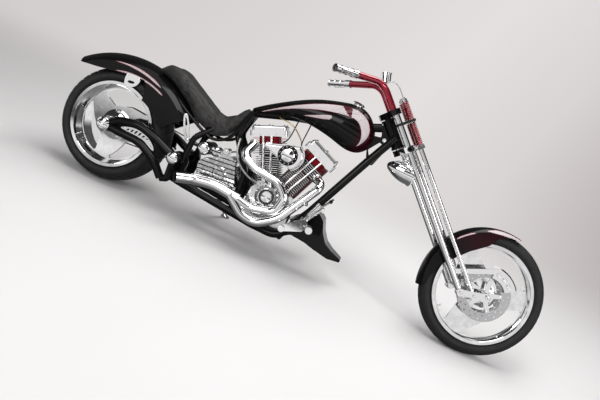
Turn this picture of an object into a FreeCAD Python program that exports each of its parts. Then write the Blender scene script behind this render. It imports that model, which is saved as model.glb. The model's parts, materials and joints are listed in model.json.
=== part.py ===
"""A long, low custom motorcycle with a springer fork, leaning on its side stand.

Units are millimetres and degrees. Each piece is drawn on the upright bike with
its steering straight: +X forward, +Y to the rider's left, +Z up, with the
origin on the ground under the rear axle. The last section turns the steering to
where it rests, leans the bike onto its stand and moves the origin to the middle
of its footprint.
"""
import FreeCAD, Part
import math
import os

V = FreeCAD.Vector
X, Y, Z = V(1, 0, 0), V(0, 1, 0), V(0, 0, 1)

# ---------------------------------------------------------------- driving sizes
STRETCH = 0.0               # added to the frame between the engine and the neck
WHEELBASE = 2268.0 + STRETCH
REAR_WIDTH, FRONT_WIDTH = 240.0, 92.0
RAKE = 45.0                 # steering axis from the vertical
TRAIL = 116.0               # where the steering axis meets the ground, ahead of the front contact
LEAN = 8.0                  # parked on the side stand
STEER_REST = 8.4            # parked with the bar turned this far to the left
STEER_STOP = 28.0           # each way from straight ahead
RUNNING_GAP = 0.1           # radial, shaft in its bore
SEAT_GAP = 0.3              # between pieces that rest on each other
MOVING_GAP = 5.0            # between pieces that move past each other

# each wheel: tyre outer radius and width, drop of its crown, rim seat and lip radius, width between
# the lips, the wheel disc's radius, thickness and place across the bike, hub, axle, window angle
REAR = dict(x=0.0, tyre_r=325.0, tyre_w=REAR_WIDTH, crown=38.0, seat_r=228.6, lip_r=242.0,
            bead_w=REAR_WIDTH - 34, web_r=204.0, web_t=16.0, web_y=-34.0, hub_r=46.0,
            hub_w=REAR_WIDTH + 6, axle_r=12.5, turn=35.0)
FRONT = dict(x=WHEELBASE, tyre_r=347.0, tyre_w=FRONT_WIDTH, crown=25.0, seat_r=266.7, lip_r=281.0,
             bead_w=FRONT_WIDTH - 22, web_r=256.0, web_t=15.0, web_y=0.0, hub_r=32.0,
             hub_w=FRONT_WIDTH + 18, axle_r=10.0, turn=263.0)
LIP_T = 8.0
BARREL_T = 7.0
CROWN_SHARE = 0.94          # part of the tyre's width under its crown arc
BLADES = 3

# fork: distances up the steering axis from its foot on the ground, ahead of it and to each side
LEG_AHEAD, LEG_SIDE, LEG_R, LEG_LOW = 36.0, 106.0, 17.0, 404.0
SPRING_LEG_AHEAD, SPRING_LEG_R, SPRING_LEG_LOW = 97.0, 12.5, 360.0
SPRING_AHEAD, SPRING_SIDE, SPRING_R, ROD_R = 112.0, 42.0, 19.0, 7.0
YOKE, PERCH, SPRING_TOP = 1212.0, 1351.0, 1462.0
YOKE_T, PERCH_T = 20.0, 14.0
LOWER_TREE, UPPER_TREE, TREE_T = 1212.0, 1422.0, 32.0
NECK_LOW, NECK_HIGH = LOWER_TREE + TREE_T / 2 + MOVING_GAP, UPPER_TREE - TREE_T / 2 - MOVING_GAP
STEM_R, NECK_R = 15.0, 32.0
BAR_R, BAR_SIDE = 19.0, 50.0
GRIP_TUBE_R, GRIP_R, GRIP_LENGTH = 12.5, 18.5, 118.0
BAR_END_R, BAR_END_DEPTH = 8.0, 30.0

# brakes and final drive
DISC_R, DISC_T, DISC_Y = 146.0, 5.0, 62.0
PULLEY_R, PULLEY_W, BELT_Y, BELT_T = 104.0, 24.0, REAR_WIDTH / 2 + 18, 4.0
GEARBOX_PULLEY_R, GEARBOX_PULLEY = 46.0, (738.0, 336.0)
PRIMARY_IN, PRIMARY_OUT = 156.0, 204.0

# frame
TUBE_R = 22.0
RAIL_SIDE, RAIL_Z = 110.0, 172.0
POST_R, BACKBONE_R = 17.0, 24.0
PIVOT = (433.0, 318.0)
ARM_R, ARM_EYE, PIVOT_CAP_R = 23.0, 25.5, 36.0
ARM_SIDE = BELT_Y + PULLEY_W / 2 + MOVING_GAP + ARM_EYE
FENDER_T = 3.5

# engine: crankshaft, half the angle of the V, heights up each cylinder
CRANK = (991.0, 276.0)
ENGINE_FRONT = 1128.0
V_HALF = 22.5
DECK, BARREL_TOP, HEAD_TOP, ROCKER_TOP = 136.0, 286.0, 392.0, 450.0
ROCKER_HALF, ROCKER_SIDE, LID_DEPTH = 104.0, 74.0, 26.0
BORE_R, FIN_HALF, FIN_T, FIN_PITCH = 50.0, 72.0, 3.0, 12.0
CASE_HALF = 70.0
EXHAUST_R, OUTLET_R, OUTLET_WALL, OUTLET_DEPTH = 24.0, 30.0, 2.5, 80.0

# side stand: pivot, and where the foot stands
STAND = (690.0, 150.0, 150.0)
STAND_AHEAD, STAND_OUT = 45.0, 290.0
STAND_LEG_R, FOOT_R, FOOT_T = 11.0, 26.0, 7.0
STAND_TILT = 24.0

nodes = {}


# ---------------------------------------------------------------- shop tools
def line(a, b):
    return Part.LineSegment(V(*a), V(*b)).toShape()


def arc(a, m, b):
    return Part.Arc(V(*a), V(*m), V(*b)).toShape()


def cylinder(r, a, b):
    """A round bar from point a to point b."""
    a, b = V(*a), V(*b)
    return Part.makeCylinder(r, (b - a).Length, a, b - a)


def across(r, x, z, y0, y1):
    """A round bar across the bike."""
    return cylinder(r, (x, y0, z), (x, y1, z))


def join(parts):
    whole = parts[0].fuse(parts[1:]) if len(parts) > 1 else parts[0]
    return whole.removeSplitter()


def path(points, bend):
    """Straight runs joined by tangent arcs. bend is one radius, or one for each inner point."""
    pts = [V(*p) for p in points]
    bends = bend if isinstance(bend, (list, tuple)) else [bend] * (len(pts) - 2)
    edges, start = [], pts[0]
    for before, corner, after, r in zip(pts, pts[1:], pts[2:], bends):
        into, out = (corner - before).normalize(), (after - corner).normalize()
        half = into.getAngle(out) / 2
        if half < 1e-3:
            continue
        back = r * math.tan(half)
        mid = corner + (out - into).normalize() * (r / math.cos(half) - r)
        a, b = corner - into * back, corner + out * back
        if (a - start).Length > 1e-3:
            edges.append(Part.LineSegment(start, a).toShape())
        edges.append(Part.Arc(a, mid, b).toShape())
        start = b
    edges.append(Part.LineSegment(start, pts[-1]).toShape())
    return Part.Wire(edges)


def tube(points, r, bend=60.0):
    """A bent bar."""
    start, along = V(*points[0]), V(*points[1]) - V(*points[0])
    ring = Part.Wire(Part.makeCircle(r, start, along))
    return path(points, bend).makePipeShell([ring], True, True)


def rounded(corners, at=0.0):
    """A closed outline in the plane y = at. Each corner is x, z, radius."""
    edges, joints, n = [], [], len(corners)
    for i in range(n):
        (x0, z0, _), (x1, z1, r), (x2, z2, _) = corners[i - 1], corners[i], corners[(i + 1) % n]
        corner = V(x1, at, z1)
        into, out = (corner - V(x0, at, z0)).normalize(), (V(x2, at, z2) - corner).normalize()
        half = into.getAngle(out) / 2
        if r <= 0 or half < 1e-3:
            joints.append((corner, None, corner))
            continue
        back = r * math.tan(half)
        mid = corner + (out - into).normalize() * (r / math.cos(half) - r)
        joints.append((corner - into * back, mid, corner + out * back))
    for i, (a, mid, b) in enumerate(joints):
        if mid is not None:
            edges.append(Part.Arc(a, mid, b).toShape())
        following = joints[(i + 1) % n][0]
        if (following - b).Length > 1e-6:
            edges.append(Part.LineSegment(b, following).toShape())
    return Part.Wire(edges)


def plate(corners, y0, y1):
    """A flat piece with a rounded outline, from y0 to y1."""
    return Part.Face(rounded(corners, y0)).extrude(V(0, y1 - y0, 0))


def turned(profile, centre, axis=Y, up=Z):
    """A turned piece. profile lists distance along the axis and radius."""
    centre = V(*centre)
    pts = [centre + axis * a + up * r for a, r in profile]
    face = Part.Face(Part.makePolygon(pts + pts[:1]))
    return face.revolve(centre, axis, 360)


def softened(shape, r, pick):
    """Fillets on the edges that pick chooses."""
    return shape.makeFillet(r, [e for e in shape.Edges if pick(e)])


def mirrored(shape):
    return shape.mirror(V(0, 0, 0), Y)


def both(shape):
    return Part.makeCompound([shape, mirrored(shape)])


STEER_DIR = V(-math.sin(math.radians(RAKE)), 0, math.cos(math.radians(RAKE)))
FORK_AHEAD = V(math.cos(math.radians(RAKE)), 0, math.sin(math.radians(RAKE)))
STEER_FOOT = V(WHEELBASE + TRAIL, 0, 0)


def fork(up, ahead, side=0.0):
    """A point given up the steering axis, ahead of it and to the left."""
    return tuple(STEER_FOOT + STEER_DIR * up + FORK_AHEAD * ahead + Y * side)


def fork_plate(corners, low, high):
    """A flat piece square to the steering axis. Each corner is ahead, side."""
    pts = [V(*fork(low, ahead, side)) for ahead, side in corners]
    return Part.Face(Part.makePolygon(pts + pts[:1])).extrude(STEER_DIR * (high - low))


NECK_FOOT = fork(LOWER_TREE, 0)


def stretched(rows):
    """The same rows of x and more, with what is ahead of the engine moved by its share of the stretch."""
    reach = NECK_FOOT[0] - STRETCH - ENGINE_FRONT
    return [(row[0] + STRETCH * max(0.0, (row[0] - ENGINE_FRONT) / reach), *row[1:]) for row in rows]


# ---------------------------------------------------------------- wheels
def tyre(w):
    """A tyre with one crown arc and bulged walls, seated on its rim."""
    half, shoulder = w["tyre_w"] / 2, w["tyre_w"] / 2 * CROWN_SHARE
    x, zc, bead, inner = w["x"], w["tyre_r"], w["bead_w"] / 2 - SEAT_GAP, w["seat_r"] + SEAT_GAP
    top, low = w["tyre_r"] - w["crown"], w["lip_r"] - 4
    belly = (top + w["lip_r"]) / 2

    def at(y, r):
        return (x, y, zc + r)
    edges = [
        arc(at(-shoulder, top), at(0, w["tyre_r"]), at(shoulder, top)),
        arc(at(shoulder, top), at(half, belly), at(bead, w["lip_r"] + 6)),
        line(at(bead, w["lip_r"] + 6), at(bead, inner)),
        line(at(bead, inner), at(-bead, inner)),
        line(at(-bead, inner), at(-bead, w["lip_r"] + 6)),
        arc(at(-bead, w["lip_r"] + 6), at(-half, belly), at(-shoulder, top)),
    ]
    return Part.Face(Part.Wire(edges)).revolve(V(x, 0, zc), Y, 360).cut(
        [lip_room(w, 1), lip_room(w, -1)])


def lip_room(w, side):
    """The space of a rim lip, with the seating gap round it."""
    b = w["bead_w"] / 2 - SEAT_GAP
    profile = [(side * b, w["seat_r"] - 5), (side * (b + LIP_T + 20), w["seat_r"] - 5),
               (side * (b + LIP_T + 20), w["lip_r"] + SEAT_GAP), (side * b, w["lip_r"] + SEAT_GAP)]
    return turned(profile, (w["x"], 0, w["tyre_r"]))


def wheel(w):
    """Rim, dished disc with scimitar blades, and hub, machined from one forging."""
    x, zc, b, seat = w["x"], w["tyre_r"], w["bead_w"] / 2, w["seat_r"]
    out, inside, lip = b + LIP_T, w["seat_r"] - BARREL_T, w["lip_r"]
    y0, y1, hub, web = w["web_y"] - w["web_t"] / 2, w["web_y"] + w["web_t"] / 2, w["hub_r"], w["web_r"]
    body = turned([
        (-out, inside + 2), (-out, lip - 2), (-out + 2, lip), (-b, lip), (-b, seat), (b, seat), (b, lip), (out - 2, lip),
        (out, lip - 2), (out, inside + 2), (out - 2, inside), (y1 + 12, inside), (y1, web),
        (y1, hub + 40), (y1 + 10, hub), (w["hub_w"] / 2, hub), (w["hub_w"] / 2, 0), (-w["hub_w"] / 2, 0),
        (-w["hub_w"] / 2, hub), (y0 - 10, hub), (y0, hub + 40), (y0, web), (y0 - 8, web + 2),
        (-out + 2, inside)], (x, 0, zc))
    depth = w["web_t"] + 30

    def at(share, turn):
        a = math.radians(w["turn"] + turn)
        return (x + share * web * math.cos(a), w["web_y"] - depth, zc + share * web * math.sin(a))
    # each window: round the rim, a short side in to the blade's heel, and the long spiral back
    window = Part.Face(Part.Wire([
        arc(at(0.97, 0), at(0.97, 49), at(0.97, 98)),
        line(at(0.97, 98), at(0.52, 80)),
        arc(at(0.52, 80), at(0.60, 40), at(0.97, 0)),
    ])).extrude(V(0, 2 * depth, 0))
    window = softened(window, 0.045 * web, lambda e: e.Length > 1.9 * depth)
    slot = Part.Face(Part.Wire([
        arc(at(0.345, 4), at(0.375, 40), at(0.41, 74)),
        arc(at(0.41, 74), at(0.385, 79), at(0.345, 78)),
        arc(at(0.345, 78), at(0.32, 40), at(0.30, 6)),
        arc(at(0.30, 6), at(0.32, 1), at(0.345, 4)),
    ])).extrude(V(0, 2 * depth, 0))
    cuts = [c.rotated(V(x, 0, zc), Y, 360 / BLADES * i) for i in range(BLADES) for c in (window, slot)]
    cuts.append(across(w["axle_r"] + RUNNING_GAP, x, zc, -200, 200))
    return body.cut(cuts)


rx, rz = REAR["x"], REAR["tyre_r"]
fx, fz = FRONT["x"], FRONT["tyre_r"]
for name, w in (("rear", REAR), ("front", FRONT)):
    nodes[name + "_tyre"] = tyre(w)
    nodes[name + "_rim"] = wheel(w)

# the belt pulley on the left of the rear hub, with its teeth and lightening holes
TEETH, TOOTH_DEPTH = 60, 3.0
pulley_face = BELT_Y - PULLEY_W / 2
teeth = [across(2.2, rx + PULLEY_R, rz, 0, 200).rotated(V(rx, 0, rz), Y, 360 / TEETH * i) for i in range(TEETH)]
holes = [across(15, rx + 72, rz, 0, 200).rotated(V(rx, 0, rz), Y, 360 / 8 * i) for i in range(8)]
nodes["rear_pulley"] = across(PULLEY_R, rx, rz, pulley_face, pulley_face + PULLEY_W).cut(
    teeth + holes + [across(REAR["axle_r"] + RUNNING_GAP, rx, rz, 0, 200)])

# the drilled front disc on the right, on a five-armed carrier
disc = across(DISC_R, fx, fz, -DISC_Y - DISC_T, -DISC_Y).cut(across(98, fx, fz, -DISC_Y - 9, -DISC_Y + 9))
arm = plate([(fx - 16, fz, 0), (fx + 16, fz, 0), (fx + 10, fz + 102, 0), (fx - 10, fz + 102, 0)],
            -DISC_Y - DISC_T, -DISC_Y)
arms = [arm.rotated(V(fx, 0, fz), Y, 72 * i) for i in range(5)]
boss = across(FRONT["hub_r"] + 6, fx, fz, -DISC_Y - DISC_T, -FRONT["hub_w"] / 2)
drilled = [across(4.5, fx, fz + r, -80, -50).rotated(V(fx, 0, fz), Y, 20 * i + turn)
           for i in range(18) for r, turn in ((112, 0), (132, 10))]
nodes["front_disc"] = join([disc, boss] + arms).cut(
    drilled + [across(FRONT["axle_r"] + RUNNING_GAP, fx, fz, -200, 0)])

# ---------------------------------------------------------------- springer fork
leg = cylinder(LEG_R, fork(LEG_LOW, LEG_AHEAD, LEG_SIDE), fork(UPPER_TREE + TREE_T / 2, LEG_AHEAD, LEG_SIDE))
spring_leg = cylinder(SPRING_LEG_R, fork(SPRING_LEG_LOW, SPRING_LEG_AHEAD, LEG_SIDE),
                      fork(YOKE, SPRING_LEG_AHEAD, LEG_SIDE))
rod = cylinder(ROD_R, fork(YOKE, SPRING_AHEAD, SPRING_SIDE), fork(SPRING_TOP + 24, SPRING_AHEAD, SPRING_SIDE))
nut = cylinder(SPRING_R - 4, fork(SPRING_TOP, SPRING_AHEAD, SPRING_SIDE),
               fork(SPRING_TOP + 14, SPRING_AHEAD, SPRING_SIDE))
yoke = fork_plate([(80, -LEG_SIDE - 18), (114, -LEG_SIDE - 14), (132, -56), (132, 56), (114, LEG_SIDE + 14),
                   (80, LEG_SIDE + 18)], YOKE - YOKE_T, YOKE)
nodes["rigid_legs"] = both(leg)
nodes["spring_legs"] = join([yoke, spring_leg, mirrored(spring_leg), rod, mirrored(rod), nut, mirrored(nut)])


def tree(at):
    """A fork tree: a waisted slab across the axis that clamps both legs."""
    side = LEG_SIDE + LEG_R + 9
    half = [(-38, 22), (-8, 60), (LEG_AHEAD - 26, side - 12), (LEG_AHEAD, side), (LEG_AHEAD + 26, side - 12),
            (LEG_AHEAD + 14, 40)]
    corners = half + [(a, -s) for a, s in reversed(half)]
    return fork_plate(corners, at - TREE_T / 2, at + TREE_T / 2)


perch = fork_plate([(LEG_AHEAD - 22, -LEG_SIDE - 24), (LEG_AHEAD + 22, -LEG_SIDE - 24), (134, -60), (134, 60),
                    (LEG_AHEAD + 22, LEG_SIDE + 24), (LEG_AHEAD - 22, LEG_SIDE + 24),
                    (LEG_AHEAD - 22, LEG_SIDE - 26), (78, 50), (78, -50), (LEG_AHEAD - 22, -LEG_SIDE + 26)],
                   PERCH - PERCH_T / 2, PERCH + PERCH_T / 2)
stem = cylinder(STEM_R, fork(LOWER_TREE, 0), fork(UPPER_TREE, 0))
rod_room = cylinder(ROD_R + RUNNING_GAP, fork(YOKE, SPRING_AHEAD, SPRING_SIDE), fork(SPRING_TOP, SPRING_AHEAD, SPRING_SIDE))
cap_bolts = [cylinder(15, fork(at, LEG_AHEAD, s * (LEG_SIDE + LEG_R + 6)), fork(at, LEG_AHEAD, s * (LEG_SIDE + LEG_R + 20)))
             for at in (LOWER_TREE,) for s in (-1, 1)]
trees = join([tree(LOWER_TREE), tree(UPPER_TREE), stem] + cap_bolts)
leg_pair = [leg, mirrored(leg)]
nodes["fork_trees"] = Part.makeCompound([trees.cut(leg_pair), perch.cut(leg_pair + [rod_room, mirrored(rod_room)])])


def spring(low, high):
    """A coil spring drawn as a close-wound row of rings round its rod."""
    count = 12
    pitch = (high - low) / count
    start = V(*fork(low, SPRING_AHEAD, SPRING_SIDE))
    root, crest = SPRING_R - pitch / 2, SPRING_R

    def at(a, r):
        return start + STEER_DIR * a + FORK_AHEAD * r
    edges = [Part.LineSegment(at(0, root), at(0, ROD_R + 0.5)).toShape(),
             Part.LineSegment(at(0, ROD_R + 0.5), at(high - low, ROD_R + 0.5)).toShape(),
             Part.LineSegment(at(high - low, ROD_R + 0.5), at(high - low, root)).toShape()]
    for i in reversed(range(count)):
        edges.append(Part.Arc(at(pitch * (i + 1), root), at(pitch * (i + 0.5), crest), at(pitch * i, root)).toShape())
    return Part.Face(Part.Wire(edges)).revolve(start, STEER_DIR, 360)


springs = Part.makeCompound([spring(YOKE, PERCH - PERCH_T / 2), spring(PERCH + PERCH_T / 2, SPRING_TOP)])
nodes["fork_springs"] = both(springs)

# rockers: each pivots on its rigid leg, takes the spring leg in the middle and the axle at the front
rocker_pins = [fork(LEG_LOW, LEG_AHEAD), fork(SPRING_LEG_LOW, SPRING_LEG_AHEAD), (fx, 0, fz)]
EYE_HALF, ROCKER_T = LEG_R + 1, 14.0
leg_eyes = [across(r, p[0], p[2], LEG_SIDE - EYE_HALF, LEG_SIDE + EYE_HALF) for p, r in zip(rocker_pins[:2], (21, 18))]
rocker_in, rocker_out = LEG_SIDE + EYE_HALF + SEAT_GAP, LEG_SIDE + EYE_HALF + ROCKER_T
rocker = join([across(r, p[0], p[2], rocker_in, rocker_out) for p, r in zip(rocker_pins, (21, 19, 24))] +
              [plate([(rocker_pins[0][0], rocker_pins[0][2] + 17, 6), (fx, fz + 19, 6), (fx, fz - 19, 6),
                      (rocker_pins[0][0], rocker_pins[0][2] - 17, 6)], rocker_in, rocker_out)])
pins = [across(9, p[0], p[2], LEG_SIDE - EYE_HALF, rocker_out + 7) for p in rocker_pins[:2]]
rocker = join([rocker] + pins).cut(across(FRONT["axle_r"], fx, fz, 0, 200))
nodes["rockers"] = both(rocker)
foot = join([leg, leg_eyes[0]]).cut(pins)
nodes["rigid_legs"] = both(foot)
nodes["spring_legs"] = join([nodes["spring_legs"], leg_eyes[1], mirrored(leg_eyes[1])]).cut(
    pins + [mirrored(p) for p in pins])
axle_nut = across(15, fx, fz, rocker_out, rocker_out + 12)
spacer = across(16, fx, fz, FRONT["hub_w"] / 2 + 14, rocker_in)
nodes["front_axle"] = join([across(FRONT["axle_r"], fx, fz, -rocker_out - 4, rocker_out + 4), axle_nut,
                            mirrored(axle_nut), spacer, mirrored(spacer)])

# the caliper straddles the disc and hangs from the right rigid leg's lug, with three pistons outside
CALIPER_IN, CALIPER_OUT = DISC_R - 48, DISC_R + 26
CALIPER_FACE, CALIPER_BACK = -90.0, -44.0
caliper_body = turned([(CALIPER_FACE, CALIPER_IN + 6), (CALIPER_FACE, CALIPER_OUT - 8),
                       (CALIPER_FACE + 8, CALIPER_OUT), (CALIPER_BACK, CALIPER_OUT),
                       (CALIPER_BACK, CALIPER_IN), (CALIPER_FACE + 6, CALIPER_IN)], (fx, 0, fz))
caliper_reach = 1.4 * CALIPER_OUT


def off_axle(angle, r):
    """A place in the front wheel's plane, from its axle."""
    a = math.radians(angle)
    return (fx + r * math.cos(a), fz + r * math.sin(a))


wedge = plate([(fx, fz, 0), (*off_axle(34, caliper_reach), 0), (*off_axle(64, caliper_reach), 0),
               (*off_axle(94, caliper_reach), 0)], -100, -30)
groove = turned([(-DISC_Y - DISC_T - MOVING_GAP, 0), (-DISC_Y - DISC_T - MOVING_GAP, DISC_R + MOVING_GAP),
                 (-DISC_Y + MOVING_GAP, DISC_R + MOVING_GAP), (-DISC_Y + MOVING_GAP, 0)], (fx, 0, fz))
pistons = [across(15, *off_axle(angle, (CALIPER_IN + CALIPER_OUT) / 2), CALIPER_FACE - 5, CALIPER_FACE + 2)
           for angle in (46, 64, 82)]
lug_top = fork(520, LEG_AHEAD)
hanger_in, hanger_out = off_axle(86, CALIPER_IN + 40), off_axle(86, CALIPER_OUT)
caliper_arm = plate([(lug_top[0], lug_top[2] + 14, 6), (hanger_out[0] + 8, hanger_out[1], 8),
                     (hanger_in[0] + 8, hanger_in[1], 8), (lug_top[0] - 6, lug_top[2] - 16, 6)],
                    -LEG_SIDE + 14, -LEG_SIDE + 23)
caliper = join([caliper_body.common(wedge).cut(groove)] + pistons)
nodes["front_caliper"] = join([caliper, caliper_arm]).cut([mirrored(leg), mirrored(spring_leg)])


# ---------------------------------------------------------------- fenders
def ring_strip(x, zc, outer, half_w, depth, a0, a1, t):
    """A mudguard: a crowned strip with side skirts, swept about a wheel's axis from a0 to a1."""
    def at(y, r):
        return (x, y, zc + r)

    def skin(r, w, d):
        edge = r - 0.4 * w
        return [arc(at(-w, edge), at(0, r), at(w, edge)), line(at(w, edge), at(w, d)),
                line(at(w, d), at(-w, d)), line(at(-w, d), at(-w, edge))]
    outside = Part.Face(Part.Wire(skin(outer, half_w, outer - depth)))
    inside = Part.Face(Part.Wire(skin(outer - t, half_w - t, outer - depth - 5)))
    strip = outside.cut(inside).revolve(V(x, 0, zc), Y, a1 - a0)
    strip.rotate(V(x, 0, zc), Y, 90 - a1)
    return strip


FRONT_FENDER_R, FRONT_FENDER_HALF = FRONT["tyre_r"] + 19, FRONT_WIDTH / 2 + 12
# what is cut from below: angle about the axle, share of the fender's radius, rounding
SKIRT = [(200, 1.1, 0), (196, 0.948, 20), (169, 0.79, 60), (133, 0.685, 40), (109, 0.735, 24), (100, 0.875, 20),
         (90, 0.94, 40), (78, 0.958, 0), (60, 1.1, 0), (330, 1.1, 0), (270, 1.1, 0)]
below = plate([(*off_axle(angle, share * FRONT_FENDER_R), r) for angle, share, r in SKIRT], -100, 100)
nodes["front_fender"] = ring_strip(fx, fz, FRONT_FENDER_R, FRONT_FENDER_HALF, 150, 79, 196, FENDER_T).cut(below)
stays = []
for up in (610, 655):
    low = fork(up, LEG_AHEAD, FRONT_FENDER_HALF - FENDER_T / 2)
    stays.append(cylinder(8, low, fork(up, LEG_AHEAD, LEG_SIDE)).cut(leg))
nodes["front_fender"] = join([nodes["front_fender"]] + stays + [mirrored(stay) for stay in stays])

REAR_FENDER = (19.0, 195.0)
REAR_FENDER_R, REAR_FENDER_HALF = 535.0, REAR_WIDTH / 2 + 18
GUARD_R = REAR["tyre_r"] + 31
tail = ring_strip(*REAR_FENDER, REAR_FENDER_R, REAR_FENDER_HALF, 190, 42, 129, FENDER_T)
below = plate([(-420, 540, 0), (-330, 570, 30), (-190, 588, 60), (20, 624, 60), (104, 632, 20), (124, 560, 0),
               (124, 0, 0), (-420, 0, 0)], -200, 200)
guard = ring_strip(rx, rz, GUARD_R, REAR_FENDER_HALF, 84, 25, 66, FENDER_T)
nodes["rear_fender"] = join([tail.cut(below), guard])

# ---------------------------------------------------------------- bar, gauge and lamp
BAR = [(UPPER_TREE + TREE_T / 2, 38, BAR_SIDE), (1592, 38, BAR_SIDE), (1729, -204, 272)]
BAR_TIP, BAR_OUT = V(*fork(*BAR[-1])), (V(*fork(*BAR[-1])) - V(*fork(*BAR[-2]))).normalize()
grip_start = BAR_TIP - BAR_OUT * GRIP_LENGTH
shoulder = grip_start - BAR_OUT * 40
bar = tube([fork(*p) for p in BAR[:-1]] + [tuple(shoulder)], BAR_R, 90)
grip_tube = Part.makeCylinder(GRIP_TUBE_R, GRIP_LENGTH + 42, shoulder - BAR_OUT * 2, BAR_OUT)
bar_hole = Part.makeCylinder(BAR_END_R, BAR_END_DEPTH, BAR_TIP - BAR_OUT * BAR_END_DEPTH, BAR_OUT)
CROSS_BAR, CROSS_BAR_R = 1556.0, 12.0
cross_bar = cylinder(CROSS_BAR_R, fork(CROSS_BAR, BAR[1][1], -BAR_SIDE), fork(CROSS_BAR, BAR[1][1], BAR_SIDE))
half_bar = join([bar, grip_tube])
nodes["handlebar"] = join([half_bar, mirrored(half_bar), cross_bar]).cut([bar_hole, mirrored(bar_hole)])
COLLARS, COLLAR_W = (0, 36, 74, GRIP_LENGTH - 5), 5
grip_bore, collar_r, housing_r = GRIP_TUBE_R + SEAT_GAP, GRIP_R + 2.5, GRIP_R + 4
sleeve_profile = [(-35, grip_bore), (-35, housing_r), (0, housing_r)]
for at in COLLARS:
    sleeve_profile += [(at, GRIP_R), (at, collar_r), (at + COLLAR_W, collar_r), (at + COLLAR_W, GRIP_R)]
sleeve_profile = sleeve_profile[:3] + sleeve_profile[4:-1] + [(GRIP_LENGTH, grip_bore)]
grip = turned(sleeve_profile, tuple(grip_start), BAR_OUT, BAR_OUT.cross(X).normalize())
lever_at, lever_way = grip_start - BAR_OUT * 18, BAR_OUT.cross(Z).normalize()
LEVER = [(18, 0), (46, 2), (56, 136)]      # ahead of the grip, outward along it
lever = tube([tuple(lever_at + lever_way * ahead + BAR_OUT * out) for ahead, out in LEVER], 5, 20)
nodes["grips"] = both(join([grip, lever]))

gauge_axis = (STEER_DIR * 0.905 + FORK_AHEAD * 0.425).normalize()
gauge_low = V(*fork(CROSS_BAR, BAR[1][1])) + gauge_axis * CROSS_BAR_R
nodes["gauge"] = turned([(-2, 0), (-2, 9), (26, 9), (34, 28), (76, 28), (76, 31), (84, 31), (84, 27), (81, 27),
                         (81, 0)], tuple(gauge_low), gauge_axis, gauge_axis.cross(Y)).cut(cross_bar)

LAMP_TIP = stretched([(1494.0, 0.0, 770.0)])[0]
LAMP_R = 64.0
lamp_axis = V(1, 0, 0.02).normalize()
lamp_up = Y.cross(lamp_axis) * -1


def lamp_at(a, r):
    return V(*LAMP_TIP) + lamp_axis * a + lamp_up * r


def domed(end, rim, r):
    """Middle of the arc from a rim of radius r to its end on the lamp's axis, square to the axis there."""
    centre = (end * end - rim * rim - r * r) / (2 * (end - rim))
    half = math.atan2(r, abs(rim - centre)) / 2
    return lamp_at(centre + (end - centre) * math.cos(half), abs(end - centre) * math.sin(half))


shell = Part.Face(Part.Wire([
    Part.Arc(lamp_at(0, 0), domed(0, 12, 22), lamp_at(12, 22)).toShape(),
    Part.Arc(lamp_at(12, 22), lamp_at(70, 54), lamp_at(134, LAMP_R)).toShape(),
    Part.LineSegment(lamp_at(134, LAMP_R), lamp_at(134, LAMP_R + 4)).toShape(),
    Part.LineSegment(lamp_at(134, LAMP_R + 4), lamp_at(152, LAMP_R + 4)).toShape(),
    Part.LineSegment(lamp_at(152, LAMP_R + 4), lamp_at(156, LAMP_R - 4)).toShape(),
    Part.Arc(lamp_at(156, LAMP_R - 4), domed(170, 156, LAMP_R - 4), lamp_at(170, 0)).toShape(),
    Part.LineSegment(lamp_at(170, 0), lamp_at(0, 0)).toShape()]))
lamp = shell.revolve(V(*LAMP_TIP), lamp_axis, 360)
hanger = tube([fork(LOWER_TREE - TREE_T / 2, 30), fork(1168, 34), tuple(lamp_at(86, 48))], 9, 20)
nodes["headlight"] = join([lamp, hanger]).cut(trees)

# ---------------------------------------------------------------- frame
neck_bar = cylinder(NECK_R, fork(NECK_LOW, 0), fork(NECK_HIGH, 0))
neck_bore = cylinder(STEM_R + RUNNING_GAP, fork(NECK_LOW - 5, 0), fork(NECK_HIGH + 5, 0))
cups = [cylinder(NECK_R + 4, fork(a, 0), fork(a + 12, 0)) for a in (NECK_LOW, NECK_HIGH - 12)]
gusset = plate(stretched([(1296, 914, 8), (1392, 957, 4), (1478, 900, 4), (1420, 722, 10), (1376, 752, 10),
                          (1352, 812, 30), (1346, 900, 30)]), -14, 14)
WINDOWS = [[(1352, 880, 8), (1352, 906, 8), (1392, 922, 8), (1404, 890, 8)],
           [(1366, 800, 8), (1384, 770, 8), (1420, 800, 8), (1436, 850, 8), (1408, 862, 8)]]
windows = [plate(stretched(corners), -20, 20) for corners in WINDOWS]
BACKBONE = stretched([(1386, 0, 938), (1250, 0, 880), (900, 0, 786), (700, 0, 716)])
backbone = tube(BACKBONE, BACKBONE_R, 200).cut(neck_bar)
nodes["neck"] = join([neck_bar] + cups + [gusset.cut(windows)]).cut([neck_bore, backbone])
nodes["backbone"] = backbone
CRADLE = stretched([(1476, 44, 920), (1391, 66, 738), (1212, 96, 330), (1120, RAIL_SIDE, RAIL_Z - 12),
                    (960, RAIL_SIDE, RAIL_Z - 12), (470, RAIL_SIDE, 200)])
CRADLE_BENDS = [400, 260, 90, 400]
cradle = tube(CRADLE, TUBE_R, CRADLE_BENDS)
POST = [(706, 26, 706), (674, 60, 574), (752, 80, 478), (806, 84, 400), (816, 88, 186)]
post = tube(POST, POST_R, [60, 60, 90])
REAR_STAY = [(458, RAIL_SIDE, 300), (470, RAIL_SIDE - 10, 460), (560, 80, 560), (672, 52, 650)]
rear_stay = tube(REAR_STAY, POST_R, [80, 60])
pivot_plate = plate([(412, 186, 20), (486, 180, 20), (500, 320, 30), (470, 362, 30), (405, 352, 25)],
                    RAIL_SIDE - 8, RAIL_SIDE + 8)
side_frame = join([cradle, post, rear_stay, pivot_plate])
CROSS_TUBES = [(1130, 162), (560, 196)]
cross_tubes = [across(14, x, z, -RAIL_SIDE, RAIL_SIDE) for x, z in CROSS_TUBES]
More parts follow.
